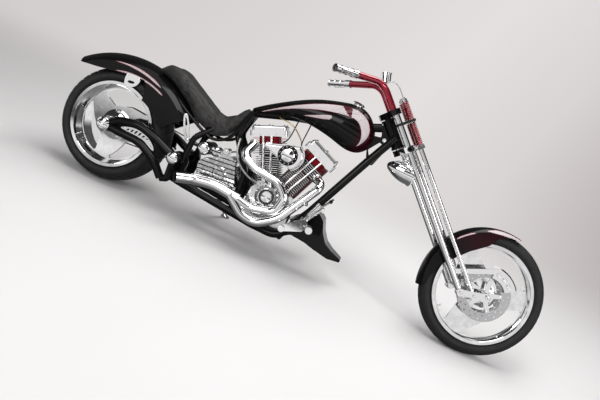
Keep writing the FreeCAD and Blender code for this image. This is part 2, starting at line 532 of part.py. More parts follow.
pivot_tube = across(20, *PIVOT, -ARM_SIDE - ARM_EYE, ARM_SIDE + ARM_EYE)
frame_cuts = [nodes["neck"], backbone, pivot_tube]
nodes["frame_cradle"] = join([side_frame, mirrored(side_frame)] + cross_tubes).cut(frame_cuts)

# swingarm: two arched tubes each side, a bracket plate between them, hub and pivot blocks
UPPER_ARM = [(8, rz + 6), (70, 376), (180, 400), (300, 372), PIVOT]
LOWER_ARM = [(8, rz - 6), (90, 316), (220, 316), (330, 262), (404, 186)]
FOOT_BRACE = [(404, 186), (440, 200), PIVOT]
upper_arm, lower_arm, foot_brace = (
    tube([(x, ARM_SIDE, z) for x, z in line_of], r, bends)
    for line_of, r, bends in ((UPPER_ARM, ARM_R, [60, 200, 250]), (LOWER_ARM, ARM_R, [100, 200, 200]),
                              (FOOT_BRACE, ARM_R - 3, 14)))
web_plate = plate([(60, 318, 6), (92, 362, 10), (180, 380, 30), (290, 362, 20), (330, 300, 20), (232, 322, 40)],
                  ARM_SIDE - 5, ARM_SIDE + 5)
vents = [plate([(x, 334, 3), (x + 12, 334, 3), (x + 20, 358, 3), (x + 8, 358, 3)], ARM_SIDE - 9, ARM_SIDE + 9)
         for x in range(122, 240, 26)]
blocks = [across(r, x, z, ARM_SIDE - ARM_EYE, ARM_SIDE + ARM_EYE)
          for r, x, z in ((36, rx, rz), (PIVOT_CAP_R, *PIVOT))]
side_arm = join([upper_arm, lower_arm, web_plate.cut(vents), foot_brace] + blocks)
axle_room = across(REAR["axle_r"], rx, rz, -300, 300)
nodes["swingarm"] = join([side_arm, mirrored(side_arm), pivot_tube]).cut(axle_room)
arm_out = ARM_SIDE + ARM_EYE
axle_cap = turned([(arm_out, 0), (arm_out, 37), (arm_out + 6, 37), (arm_out + 12, 28), (arm_out + 15, 14),
                   (arm_out + 16, 0)], (rx, 0, rz))
hub_spacer = across(20, rx, rz, REAR["hub_w"] / 2 + 0.5, ARM_SIDE - ARM_EYE)
left_spacer = across(20, rx, rz, pulley_face + PULLEY_W + 0.5, ARM_SIDE - ARM_EYE)
nodes["rear_axle"] = join([across(REAR["axle_r"], rx, rz, -arm_out, arm_out), axle_cap, mirrored(axle_cap),
                           left_spacer, mirrored(hub_spacer)])

# drive belt round both pulleys
span = V(GEARBOX_PULLEY[0] - rx, 0, GEARBOX_PULLEY[1] - rz)
spread = math.acos((PULLEY_R - GEARBOX_PULLEY_R) / span.Length)
tilt = math.atan2(span.z, span.x)


def belt_loop(extra):
    """The belt's outline, extra outside its pitch line."""
    big, small = PULLEY_R + extra, GEARBOX_PULLEY_R + extra

    def on(cx, cz, r, a):
        return (cx + r * math.cos(a), 0, cz + r * math.sin(a))
    top_a, low_a = tilt + spread, tilt - spread
    g = GEARBOX_PULLEY
    return Part.Face(Part.Wire([
        line(on(rx, rz, big, top_a), on(*g, small, top_a)),
        arc(on(*g, small, top_a), on(*g, small, tilt), on(*g, small, low_a)),
        line(on(*g, small, low_a), on(rx, rz, big, low_a)),
        arc(on(rx, rz, big, low_a), on(rx, rz, big, tilt + math.pi), on(rx, rz, big, top_a))]))


belt = belt_loop(1.0 + BELT_T).cut(belt_loop(1.0)).extrude(V(0, PULLEY_W - 4, 0))
belt.translate(V(0, BELT_Y - PULLEY_W / 2 + 2, 0))
nodes["drive_belt"] = belt

# ---------------------------------------------------------------- tank, seat and panels
# sections across the bike: x, bottom, top, half width
TANK = stretched([(694, 722, 746, 36), (800, 756, 822, 68), (910, 786, 889, 94), (1010, 790, 938, 110),
                  (1110, 780, 972, 120), (1210, 758, 993, 124), (1295, 752, 972, 112), (1345, 778, 924, 82),
                  (1366, 812, 888, 44)])


def egg(x, low, high, half):
    """A closed section: a flat floor, two round sides and a round top."""
    h = high - low
    a, b = (x, 0.55 * half, low), (x, half, low + 0.42 * h)
    c = (x, 0.6 * half, low + 0.86 * h)

    def flip(p):
        return (p[0], -p[1], p[2])
    return Part.Wire([line(flip(a), a), arc(a, b, c), arc(c, (x, 0, high), flip(c)), arc(flip(c), flip(b), flip(a))])


tank = Part.makeLoft([egg(*row) for row in TANK], True, False)
cap_at, cap_axis = V(*stretched([(1216, 0, 992)])[0]), V(0.08, 0, 1).normalize()
cap = turned([(-12, 0), (-12, 24), (3, 24), (3, 33), (8, 35), (14, 33), (18, 24), (20, 0)], tuple(cap_at), cap_axis,
             cap_axis.cross(Y))
front_end, rear_end = V(*BACKBONE[0]), V(*BACKBONE[-1])
ahead = (front_end - V(*BACKBONE[1])).normalize() * 120
behind = (rear_end - V(*BACKBONE[-2])).normalize() * 120
tunnel = tube([tuple(front_end + ahead)] + BACKBONE[1:-1] + [tuple(rear_end + behind)], BACKBONE_R + SEAT_GAP, 200)
cap_room = Part.makeCylinder(24 + SEAT_GAP, 60, cap_at - cap_axis * 12.3, cap_axis)
seat_ring = Part.makeCylinder(36, 20, cap_at + cap_axis * 2.7, cap_axis)
nodes["fuel_tank"] = tank.cut([tunnel, cap_room, seat_ring, nodes["neck"]])
nodes["fuel_cap"] = cap

SEAT_HALF = 104.0
SEAT = [(118, 712, 12), (186, 778, 24), (250, 766, 50), (372, 704, 120), (548, 612, 110), (640, 668, 90), (690, 744, 10),
        (712, 720, 10), (676, 620, 60), (636, 536, 60), (556, 498, 70), (400, 566, 200), (262, 648, 40)]
post_room = tube(POST[:3] + [(760, 80, 468)], POST_R + SEAT_GAP, [60, 8])
stay_room = tube(REAR_STAY + [(720, 40, 688)], POST_R + SEAT_GAP, [80, 60, 60])
seat_cuts = [across(REAR_FENDER_R + SEAT_GAP, *REAR_FENDER, -200, 200), tunnel, tank]
for room in (post_room, stay_room):
    seat_cuts += [room, mirrored(room)]
nodes["seat"] = plate(SEAT, -SEAT_HALF, SEAT_HALF).cut(seat_cuts)

# the oil tank lies across the frame behind the gearbox, on two lugs from the rear stays
OIL, OIL_R, OIL_HALF = (538.0, 424.0), 38.0, 88.0
oil_can = turned([(-OIL_HALF - 10, 0), (-OIL_HALF - 8, OIL_R - 16), (-OIL_HALF, OIL_R), (OIL_HALF, OIL_R),
                  (OIL_HALF + 8, OIL_R - 16), (OIL_HALF + 10, 0)], (OIL[0], 0, OIL[1]))
oil_lug = cylinder(7, (OIL[0], OIL_HALF - 8, OIL[1]), (468, RAIL_SIDE - 8, OIL[1]))
nodes["oil_tank"] = join([oil_can, oil_lug, mirrored(oil_lug)]).cut(nodes["frame_cradle"])

# ---------------------------------------------------------------- engine
def tipped(shape, side):
    """Lean a piece drawn on an upright cylinder with its foot at the crankshaft. side +1 is the front one."""
    shape.translate(V(CRANK[0], 0, CRANK[1]))
    shape.rotate(V(CRANK[0], 0, CRANK[1]), Y, side * V_HALF)
    return shape


def block(half_x, half_y, z0, z1, r):
    """A box round the cylinder's axis with rounded upright edges."""
    box = Part.makeBox(2 * half_x, 2 * half_y, z1 - z0, V(-half_x, -half_y, z0))
    return softened(box, r, lambda e: abs(e.Vertexes[0].Z - e.Vertexes[1].Z) > 1e-3)


case = plate([(862, 250, 30), (886, 176, 50), (975, 140, 60), (1075, 150, 60), (ENGINE_FRONT, 226, 50), (1118, 330, 40),
              (1062, 398, 20), (920, 398, 20), (868, 346, 30)], -CASE_HALF, CASE_HALF)
timing = plate([(880, 300, 40), (930, 240, 40), (1040, 236, 40), (1082, 300, 40), (1080, 392, 20), (900, 404, 20)],
               -CASE_HALF - 34, -CASE_HALF)
crank_boss = across(60, *CRANK, 0, PRIMARY_IN - SEAT_GAP)
nodes["crankcase"] = join([case, timing, crank_boss])
half_space = Part.makeBox(800, 400, 900, V(CRANK[0] + 1, -200, CRANK[1] - 100))
for name, side in (("front", 1), ("rear", -1)):
    barrel = Part.makeCylinder(BORE_R, BARREL_TOP - DECK + 12, V(0, 0, DECK - 6))
    count = int((BARREL_TOP - DECK) / FIN_PITCH)
    low_fins = [DECK + 6 + FIN_PITCH * i for i in range(count)]
    fins = [block(FIN_HALF, FIN_HALF - 6, z, z + FIN_T, 20) for z in low_fins]
    head = block(BORE_R + 6, BORE_R + 2, BARREL_TOP, HEAD_TOP, 16)
    high_fins = [BARREL_TOP + 8 + FIN_PITCH * i for i in range(int((HEAD_TOP - BARREL_TOP) / FIN_PITCH))]
    head_fins = [block(FIN_HALF + 14, FIN_HALF, z, z + FIN_T, 14) for z in high_fins]
    jug = tipped(join([barrel, head] + fins + head_fins), side)
    keep = half_space if side > 0 else half_space.mirror(V(CRANK[0], 0, 0), X)
    nodes[name + "_cylinder"] = jug.common(keep).cut(nodes["crankcase"])
    lower = block(ROCKER_HALF, ROCKER_SIDE, HEAD_TOP + SEAT_GAP, ROCKER_TOP - LID_DEPTH, 12)
    lid = softened(block(ROCKER_HALF - 8, ROCKER_SIDE - 8, ROCKER_TOP - LID_DEPTH, ROCKER_TOP, 16), 9,
                   lambda e: min(v.Z for v in e.Vertexes) > ROCKER_TOP - 1)
    rocker_box = join([lower, lid])
    if side > 0:
        rocker_box = join([rocker_box, cylinder(26, (66, -66, ROCKER_TOP - 32), (66, -96, ROCKER_TOP - 32))])
    nodes[name + "_rocker_box"] = tipped(rocker_box, side)

COVER = (976.0, 334.0)
nodes["cam_cover"] = turned([(-CASE_HALF - 34, 0), (-CASE_HALF - 34, 66), (-CASE_HALF - 48, 66), (-CASE_HALF - 54, 60),
                             (-CASE_HALF - 54, 48), (-CASE_HALF - 50, 44), (-CASE_HALF - 50, 34), (-CASE_HALF - 60, 28),
                             (-CASE_HALF - 62, 0)], (*COVER[:1], 0, COVER[1]))

# pushrod tubes: two to each cylinder, from the timing case into the rocker box. Each row: foot x, foot z,
# then where it enters the head, across the cylinder
PUSHRODS = [(1019, 396, -16), (1058, 392, 30), (963, 396, 16), (924, 392, -30)]
ROD_IN, ROD_OUT, ROD_TUBE_R = -64.0, -90.0, 7.5
rods, rod_rooms = [], []
for (x0, z0, cross), side in zip(PUSHRODS, (1, 1, -1, -1)):
    a = V(x0, ROD_OUT, z0)
    b = tipped(Part.Vertex(V(cross, ROD_IN, HEAD_TOP + SEAT_GAP)), side).Point
    d = (b - a).normalize()
    rods.append(join([Part.makeCylinder(ROD_TUBE_R, (b - a).Length, a, d), Part.makeCylinder(12, 30, a, d),
                      Part.makeCylinder(10, 12, a + d * 84, d)]))
    rod_rooms.append(Part.makeCylinder(ROD_TUBE_R + 1, (b - a).Length + 3, a, d))
for name in ("front", "rear"):
    nodes[name + "_cylinder"] = nodes[name + "_cylinder"].cut(rod_rooms)
rod_ends = [nodes[n] for n in ("front_rocker_box", "rear_rocker_box", "crankcase")]
nodes["pushrods"] = Part.makeCompound([r.cut(rod_ends) for r in rods])
heads = rod_ends + [nodes[n] for n in ("front_cylinder", "rear_cylinder", "pushrods")]

# air cleaner: a teardrop cover, its back plate and the intake behind it
AIR = (1000.0, 598.0)
AIR_R, AIR_TIP, AIR_FACE_R = 80.0, 14.0, 56.0
AIR_LENGTH = 128.0


def teardrop(grow, y0, y1):
    """The cover's outline, a round front drawn out to a small round tip behind."""
    big, small = AIR_R + grow, AIR_TIP + grow
    lean = math.pi / 2 + math.asin((big - small) / AIR_LENGTH)
    far = (AIR[0] - AIR_LENGTH, AIR[1])

    def on(c, r, a):
        return (c[0] + r * math.cos(a), y0, c[1] + r * math.sin(a))
    back = math.pi - (lean - math.pi / 2) - math.pi / 2
    face = Part.Face(Part.Wire([
        arc(on(AIR, big, back), on(AIR, big, 0), on(AIR, big, -back)),
        line(on(AIR, big, -back), on(far, small, -back)),
        arc(on(far, small, -back), on(far, small, math.pi), on(far, small, back)),
        line(on(far, small, back), on(AIR, big, back))]))
    return face.extrude(V(0, y1 - y0, 0))


cover = softened(teardrop(0, -196, -146), 10, lambda e: e.BoundBox.YMax < -195.9)
face_ring = across(AIR_FACE_R, *AIR, -200, -190)
back_plate = teardrop(4, -145, -140)
intake = across(30, AIR[0] - 4, AIR[1] - 20, -140, -104)
carburettor = plate([(966, 540, 8), (1026, 540, 8), (1026, 612, 8), (966, 612, 8)], -104, -30)
air_parts = join([cover, face_ring, back_plate, intake, teardrop(-10, -147, -144)])
nodes["air_cleaner"] = join([air_parts, carburettor]).cut(heads)

# gearbox: a ribbed case with its end cover, top plate and output pulley
GEARBOX = [(537, 340, 24), (560, 258, 30), (600, 240, 30), (768, 262, 30), (782, 300, 24), (735, 428, 24), (706, 446, 20), (560, 380, 20)]
GEARBOX_HALF = 84.0
gearbox_case = plate(GEARBOX, -GEARBOX_HALF, GEARBOX_HALF)


def gearbox_rib(x):
    """A slanted rib on the end cover, between its sloping foot and top."""
    foot_z, top_z = 262 + 0.1 * (x - 560), 372 + 0.38 * (x - 560)
    return plate([(x, foot_z, 3), (x + 9, foot_z, 3), (x - 3, top_z, 3), (x - 12, top_z, 3)],
                 -GEARBOX_HALF - 10, -GEARBOX_HALF + 4)


end_cover = turned([(-GEARBOX_HALF - 14, 0), (-GEARBOX_HALF - 14, 34), (-GEARBOX_HALF - 8, 42), (-GEARBOX_HALF, 42),
                    (-GEARBOX_HALF, 0)], (676, 0, 336))
top_box = plate([(604, 400, 8), (696, 440, 8), (684, 474, 12), (592, 436, 12)], -64, 64)
STARTER, STARTER_R = (612.0, 436.0), 28.0
starter = turned([(-106, 0), (-106, STARTER_R - 12), (-98, STARTER_R), (-30, STARTER_R), (-30, 0)],
                 (STARTER[0], 0, STARTER[1]))
gear_axle = across(20, *GEARBOX_PULLEY, GEARBOX_HALF - 4, PRIMARY_IN)
small_pulley = across(GEARBOX_PULLEY_R, *GEARBOX_PULLEY, BELT_Y - PULLEY_W / 2, BELT_Y + PULLEY_W / 2)
nodes["transmission"] = join([gearbox_case, top_box, starter, end_cover, gear_axle, small_pulley] +
                             [gearbox_rib(x) for x in range(584, 760, 26)])

PRIMARY = [(664, 336, 66), (690, 262, 60), (1010, 208, 80), (1090, 240, 60), (1096, 350, 60), (1020, 400, 60), (700, 416, 60)]
primary = softened(plate(PRIMARY, PRIMARY_IN, PRIMARY_OUT), 12, lambda e: e.BoundBox.YMin > PRIMARY_OUT - 0.1)
covers = [turned([(PRIMARY_OUT, 0), (PRIMARY_OUT, r), (PRIMARY_OUT + 6, r), (PRIMARY_OUT + 9, r - 6),
                  (PRIMARY_OUT + 9, 0)], (x, 0, z)) for x, z, r in ((*GEARBOX_PULLEY, 58), (974, 300, 40))]
nodes["primary_cover"] = join([primary] + covers)

# exhaust: the front header runs into the rear one's collector
REAR_PIPE = [(790, -66, 574), (770, -148, 494), (870, -160, 452), (1010, -166, 444), (1076, -172, 380), (1058, -178, 284),
             (920, -188, 250), (800, -198, 277)]
REAR_BENDS = [46, 110, 90, 50, 60, 120]
TAIL = [(850, -194, 270), (700, -198, 286), (590, -204, 266), (506, -276, 246)]
FRONT_PIPE = [(1176, -66, 540), (1234, -138, 524), (1090, -190, 262), (985, -198, 188), (900, -202, 202),
              (800, -206, 275)]
rear_pipe = tube(REAR_PIPE, EXHAUST_R, REAR_BENDS)
collector = tube(TAIL, OUTLET_R, [300, 60])
outlet, outlet_dir = V(*TAIL[-1]), (V(*TAIL[-1]) - V(*TAIL[-2])).normalize()
outlet_bore = Part.makeCylinder(OUTLET_R - OUTLET_WALL, OUTLET_DEPTH, outlet - outlet_dir * OUTLET_DEPTH, outlet_dir)
front_pipe = tube(FRONT_PIPE, EXHAUST_R, [46, 200, 110, 110])
engine = heads + [nodes[n] for n in ("cam_cover", "transmission", "frame_cradle")]
nodes["rear_exhaust"] = join([rear_pipe, collector]).cut([outlet_bore] + engine)
nodes["front_exhaust"] = front_pipe.cut([nodes["rear_exhaust"]] + engine)

# chin spoiler: a curved blade under the engine, narrowing to its tip
CHIN = stretched([(1060, 158, 12), (1123, 152, 20), (1180, 196, 30), (1266, 190, 40), (1338, 174, 90), (1420, 157, 60),
                  (1490, 165, 6), (1490, 181, 6), (1429, 204, 60), (1378, 232, 60), (1342, 280, 60), (1316, 342, 20),
                  (1276, 376, 8), (1236, 352, 20), (1180, 250, 60), (1108, 196, 20)])
CHIN_PLAN = stretched([(1040, -78), (1330, -84), (1500, -40), (1500, 40), (1330, 84), (1040, 78), (1040, -78)])
chin_plan = Part.Face(Part.makePolygon([V(x, y, 100) for x, y in CHIN_PLAN])).extrude(V(0, 0, 400))
cradle_room = tube(CRADLE, TUBE_R + SEAT_GAP, CRADLE_BENDS)
nodes["chin_spoiler"] = plate(CHIN, -90, 90).common(chin_plan).cut(
    [cradle_room, mirrored(cradle_room), case] + [across(14 + SEAT_GAP, x, z, -90, 90) for x, z in CROSS_TUBES])

# ---------------------------------------------------------------- forward controls
post_at = (1214.0, 322.0)
support = across(13, *post_at, 96, 206)
link = plate([(1118, 212, 14), (1146, 222, 14), (1236, 262, 14), (1262, 300, 14), (1236, 330, 14), (1204, 318, 14),
              (1126, 250, 14)], 200, 212)
link_boss = across(18, 1132, 232, 198, 222)
PEG_ROOT, PEG_TIP = V(1262, 226, 300), V(1276, 336, 306)
along_peg = PEG_TIP - PEG_ROOT
peg_rings = [cylinder(18.5, tuple(PEG_ROOT + along_peg * t), tuple(PEG_ROOT + along_peg * (t + 0.055)))
             for t in (0.2, 0.45, 0.7, 0.93)]
peg = join([cylinder(11, (1240, 206, 296), tuple(PEG_ROOT)), cylinder(16, tuple(PEG_ROOT), tuple(PEG_TIP))] + peg_rings)
pedal = join([tube([(1230, 218, 318), (1262, 222, 372), (1296, 240, 420)], 7, 60), cylinder(12, (1296, 226, 420), (1300, 282, 424))])
pedal_hub = across(15, 1230, 318, 200, 226)
side_control = join([support, link, link_boss, peg, pedal, pedal_hub])
master = cylinder(15, (1236, 180, 352), (1262, 180, 410)).fuse(cylinder(18, (1262, 180, 410), (1272, 180, 432)))
master_arm = plate([(1214, 322, 4), (1238, 330, 6), (1252, 372, 6), (1232, 372, 6)], 174, 186)
right_control = mirrored(join([side_control, master, master_arm]))
nodes["foot_controls"] = Part.makeCompound([c.cut(nodes["frame_cradle"]) for c in (side_control, right_control)])

# the throttle and brake cable: out of the right bar and over to the right spring's top nut
CABLE = [(1582, 46, -56), (1588, 64, -58), (1584, 84, -58), (1568, 100, -56), (1546, 109, -52), (1516, 112, -46),
         (SPRING_TOP + 24, SPRING_AHEAD, -SPRING_SIDE)]
cable_points = [fork(*p) for p in CABLE]


def cable_bends(points):
    """Arcs as large as the two runs at each point allow."""
    radii = []
    pts = [V(*p) for p in points]
    for before, at, after in zip(pts, pts[1:], pts[2:]):
        half = (at - before).getAngle(after - at) / 2
        radii.append(0.45 * min((at - before).Length, (after - at).Length) / math.tan(half))
    return radii


nodes["control_cables"] = tube(cable_points, 3, cable_bends(cable_points)).cut([nodes["handlebar"], nodes["spring_legs"]])
print("cable radii", [round(r) for r in cable_bends(cable_points)])

# ---------------------------------------------------------------- how it parks
STEERED = ("fork_trees", "rigid_legs", "spring_legs", "fork_springs", "rockers", "front_axle", "front_caliper",
           "front_fender", "handlebar", "grips", "gauge", "headlight", "control_cables", "front_tyre", "front_rim", "front_disc")
steer = FreeCAD.Placement(V(0, 0, 0), FreeCAD.Rotation(STEER_DIR, STEER_REST), STEER_FOOT)


def crown_arc(w):
    """Radius of a tyre's crown arc."""
    half = w["tyre_w"] / 2 * CROWN_SHARE
    return (half * half + w["crown"] ** 2) / (2 * w["crown"])


def lowest(w, centre, axle):
    """Height of a leaning tyre's lowest point: a ring of circles round the axle."""
    ring = w["tyre_r"] - crown_arc(w)
    return centre.z - ring * math.sqrt(1 - axle.z ** 2) - crown_arc(w)


rear_centre, front_centre = V(rx, 0, rz), steer.multVec(V(fx, 0, fz))
front_spin = steer.Rotation.multVec(Y)
pitch = 0.0
for _ in range(6):
    park_turn = FreeCAD.Rotation(Y, pitch).multiply(FreeCAD.Rotation(X, -LEAN))
    rear_low = lowest(REAR, park_turn.multVec(rear_centre), park_turn.multVec(Y))
    front_low = lowest(FRONT, park_turn.multVec(front_centre), park_turn.multVec(front_spin))
    pitch += math.degrees(math.atan((front_low - rear_low) / WHEELBASE))
park = FreeCAD.Placement(V(0, 0, -rear_low), park_turn)

# the stand's foot lies on the ground, seen from the upright bike
up = park_turn.inverted().multVec(Z)
foot_x, foot_y = STAND[0] + STAND_AHEAD, STAND_OUT
foot_low = V(foot_x, foot_y, (rear_low - up.x * foot_x - up.y * foot_y) / up.z)
ankle = foot_low + up * (STAND_LEG_R + 2)
stand_axis = V(0, math.cos(math.radians(STAND_TILT)), math.sin(math.radians(STAND_TILT)))
stand_pivot = V(*STAND)
HUB_R, HUB_HALF, PIN_R = 18.0, 8.0, 6.0
leg_top = stand_pivot + stand_axis * 3
stand_leg = cylinder(STAND_LEG_R, tuple(leg_top), tuple(ankle)).fuse(Part.makeSphere(STAND_LEG_R, ankle))
pad = Part.makeCylinder(FOOT_R, FOOT_T, foot_low, up)
hub = Part.makeCylinder(HUB_R, 2 * HUB_HALF, stand_pivot - stand_axis * HUB_HALF, stand_axis)
pin_hole = Part.makeCylinder(PIN_R + RUNNING_GAP, 2 * HUB_HALF, stand_pivot - stand_axis * HUB_HALF, stand_axis)
nodes["side_stand"] = join([stand_leg, pad, hub]).cut(pin_hole)
lug = Part.makeCylinder(HUB_R - 2, 14, stand_pivot - stand_axis * (HUB_HALF + SEAT_GAP + 14), stand_axis)
pin = Part.makeCylinder(PIN_R, 2 * HUB_HALF + 2, stand_pivot - stand_axis * (HUB_HALF + 2.5), stand_axis)
lug_arm = cylinder(9, tuple(stand_pivot - stand_axis * 20), (STAND[0], RAIL_SIDE, RAIL_Z + 8))
nodes["frame_cradle"] = join([nodes["frame_cradle"], lug, lug_arm, pin])

for name, shape in nodes.items():
    shape.Placement = park.multiply(steer if name in STEERED else FreeCAD.Placement()).multiply(shape.Placement)
box = FreeCAD.BoundBox()
for shape in nodes.values():
    box.add(shape.optimalBoundingBox(True, False))
middle = V(-(box.XMin + box.XMax) / 2, -(box.YMin + box.YMax) / 2, -box.ZMin)
os.makedirs("parts", exist_ok=True)
for name, shape in nodes.items():
    shape.translate(middle)
    shape.exportStep("parts/%s.step" % name)
print("box %.0f x %.0f x %.0f, bottom %.3f" % (box.XLength, box.YLength, box.ZLength, box.ZMin))
print("%d nodes" % len(nodes))


def report(name, point, direction, turns=False):
    """Print where a point and a direction of the upright bike end up."""
    p = FreeCAD.Placement(middle, FreeCAD.Rotation()).multiply(park)
    if turns:
        p = p.multiply(steer)
    print(name, [round(c, 6) for c in p.multVec(V(*point))], [round(c, 7) for c in p.Rotation.multVec(direction)])


report("steering", fork(NECK_LOW, 0), STEER_DIR)
report("rear axle", (rx, 0, rz), Y)
report("front axle", (fx, 0, fz), Y, True)
report("stand", STAND, stand_axis)
print("steering range", -STEER_STOP - STEER_REST, STEER_STOP - STEER_REST)
for name, side in (("left", 1), ("right", -1)):
    tip, way = V(BAR_TIP.x, side * BAR_TIP.y, BAR_TIP.z), V(BAR_OUT.x, side * BAR_OUT.y, BAR_OUT.z)
    report("mount bar_end_" + name, tuple(tip - way * BAR_END_DEPTH / 2), way, True)
report("mount exhaust_outlet", tuple(outlet - outlet_dir * OUTLET_DEPTH / 2), outlet_dir)
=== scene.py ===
"""The looks of a long custom motorcycle: its finishes, and the pieces that are finer than its frame."""
import json
import math

import bmesh
import bpy
from mathutils import Matrix, Vector
from mathutils.bvhtree import BVHTree
from mathutils.kdtree import KDTree


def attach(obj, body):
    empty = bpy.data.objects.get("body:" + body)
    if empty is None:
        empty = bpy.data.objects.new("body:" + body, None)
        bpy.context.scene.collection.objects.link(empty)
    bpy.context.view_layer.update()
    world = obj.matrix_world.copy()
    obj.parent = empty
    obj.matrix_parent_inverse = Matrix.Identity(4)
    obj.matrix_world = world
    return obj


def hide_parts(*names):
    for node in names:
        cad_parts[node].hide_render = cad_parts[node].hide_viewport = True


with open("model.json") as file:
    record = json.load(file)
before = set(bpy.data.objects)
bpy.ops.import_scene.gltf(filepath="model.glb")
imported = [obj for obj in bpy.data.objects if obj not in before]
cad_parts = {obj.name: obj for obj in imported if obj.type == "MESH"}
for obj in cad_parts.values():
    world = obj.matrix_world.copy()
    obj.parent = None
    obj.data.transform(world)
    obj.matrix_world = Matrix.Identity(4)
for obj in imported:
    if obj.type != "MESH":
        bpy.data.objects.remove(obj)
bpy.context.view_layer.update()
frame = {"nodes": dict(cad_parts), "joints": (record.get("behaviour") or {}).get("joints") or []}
node = frame["nodes"]

# ------------------------------------------------------------------ how the machine stands
# The machine leans on its stand with the bar turned. Its own axes are forward, left and up from the
# ground under the rear axle, and come from the wheel and steering joints.
RAKE = math.radians(45)
REAR_RADIUS, FRONT_RADIUS = 0.325, 0.347
WHEELBASE, TRAIL = 2.268, 0.116

joints = {j["name"]: j for j in frame["joints"]}
left = Vector(joints["rear_wheel_spin"]["axis"])
steer_up = Vector(joints["steering_turn"]["axis"])
steer_ahead = left.cross(steer_up)
forward = steer_ahead * math.cos(RAKE) - steer_up * math.sin(RAKE)
upward = steer_ahead * math.sin(RAKE) + steer_up * math.cos(RAKE)
ground = Vector(joints["rear_wheel_spin"]["pos_m"]) - upward * REAR_RADIUS
BIKE = Matrix.Translation(ground) @ Matrix((forward, left, upward)).transposed().to_4x4()

front_left = Vector(joints["front_wheel_spin"]["axis"])
turn = math.atan2(left.cross(front_left).dot(steer_up), left.dot(front_left))
pivot = Vector(joints["steering_turn"]["pos_m"])
STEERED = Matrix.Translation(pivot) @ Matrix.Rotation(turn, 4, steer_up) @ Matrix.Translation(-pivot) @ BIKE


def at(x, y, z):
    """A point of the upright machine: forward, to the left and up."""
    return BIKE @ Vector((x, y, z))


def fork(up, ahead, side=0.0):
    """A point of the straight fork: up the steering axis from the ground, ahead of it and to the left."""
    c, s = math.cos(RAKE), math.sin(RAKE)
    return Vector((WHEELBASE + TRAIL - s * up + c * ahead, side, c * up + s * ahead))


# the fork's own frame: x ahead of the steering axis, y to the left, z up it
FORK = STEERED @ Matrix.Translation(fork(0, 0)) @ Matrix.Rotation(-RAKE, 4, "Y")


# ------------------------------------------------------------------ floor, backdrop and light
# A pale studio floor that curves up into a wall behind, a long softbox above, one at each end and
# darkness between them, which is what polished metal needs to show its shape.
class Nodes:
    """A shader's nodes. add() makes any node, and Value lets sums be written as sums."""

    def __init__(self, tree):
        self.tree = tree

    def plug(self, socket, value):
        if isinstance(value, Value):
            self.tree.links.new(value.socket, socket)
        elif hasattr(socket.default_value, "__len__") and len(socket.default_value) == 4 and len(value) == 3:
            socket.default_value = (*value, 1.0)
        else:
            socket.default_value = value

    def add(self, kind, settings=None, sockets=None, output=0):
        made = self.tree.nodes.new("ShaderNode" + kind)
        for name, value in (settings or {}).items():
            if name == "stops":
                ramp = made.color_ramp.elements
                while len(ramp) < len(value):
                    ramp.new(0.5)
                for stop, (place, colour) in zip(ramp, value):
                    stop.position = place
                    stop.color = (*colour, 1.0) if len(colour) == 3 else colour
            else:
                setattr(made, name, value)
        for name, value in (sockets or {}).items():
            self.plug(made.inputs[name], value)
        return Value(self, made.outputs[output])

    def place(self, matrix=None):
        """Object coordinates, or a frame's own coordinates where a matrix says how it lies."""
        coords = self.add("TexCoord", output=3)
        if matrix is None:
            return coords
        rotation = matrix.to_euler()
        return self.add("Mapping", {"vector_type": "TEXTURE"},
                        {"Vector": coords, "Location": matrix.translation, "Rotation": rotation})

    def split(self, vector):
        """The x, y and z of a vector."""
        first = self.add("SeparateXYZ", None, {"Vector": vector})
        outputs = first.socket.node.outputs
        return [Value(self, outputs[i]) for i in range(3)]

    def noise(self, scale, detail=2.0, vector=None, stretch=None):
        vector = vector or self.place()
        if stretch:
            vector = self.add("Mapping", None, {"Vector": vector, "Scale": stretch})
        return self.add("TexNoise", None, {"Vector": vector, "Scale": scale, "Detail": detail})

    def mix(self, share, a, b):
        """Colour a where share is 0, colour b where it is 1."""
        return self.add("Mix", {"data_type": "RGBA"}, {0: share, 6: a, 7: b}, output=2)

    def mottled(self, scale, a, b):
        """A colour that wanders between a and b."""
        return self.mix(self.noise(scale), a, b)


class Finish(Nodes):
    """One finish of the object."""

    def __init__(self, name, **fixed):
        self.material = bpy.data.materials.new(name)
        self.material.use_nodes = True
        super().__init__(self.material.node_tree)
        self.shader = self.tree.nodes["Principled BSDF"]
        self.set(**fixed)

    def set(self, **values):
        """Set the shader's sockets: base_color is Base Color, and so on."""
        for name, value in values.items():
            self.plug(self.shader.inputs[name.replace("_", " ").title().replace("Ior", "IOR")], value)
        return self

    def shaded(self):
        """The shader's own result, to mix with another."""
        return Value(self, self.shader.outputs[0])

    def bump(self, height, strength, distance):
        self.set(normal=self.add("Bump", None, {"Height": height, "Strength": strength,
                                                "Distance": distance}))
        return self


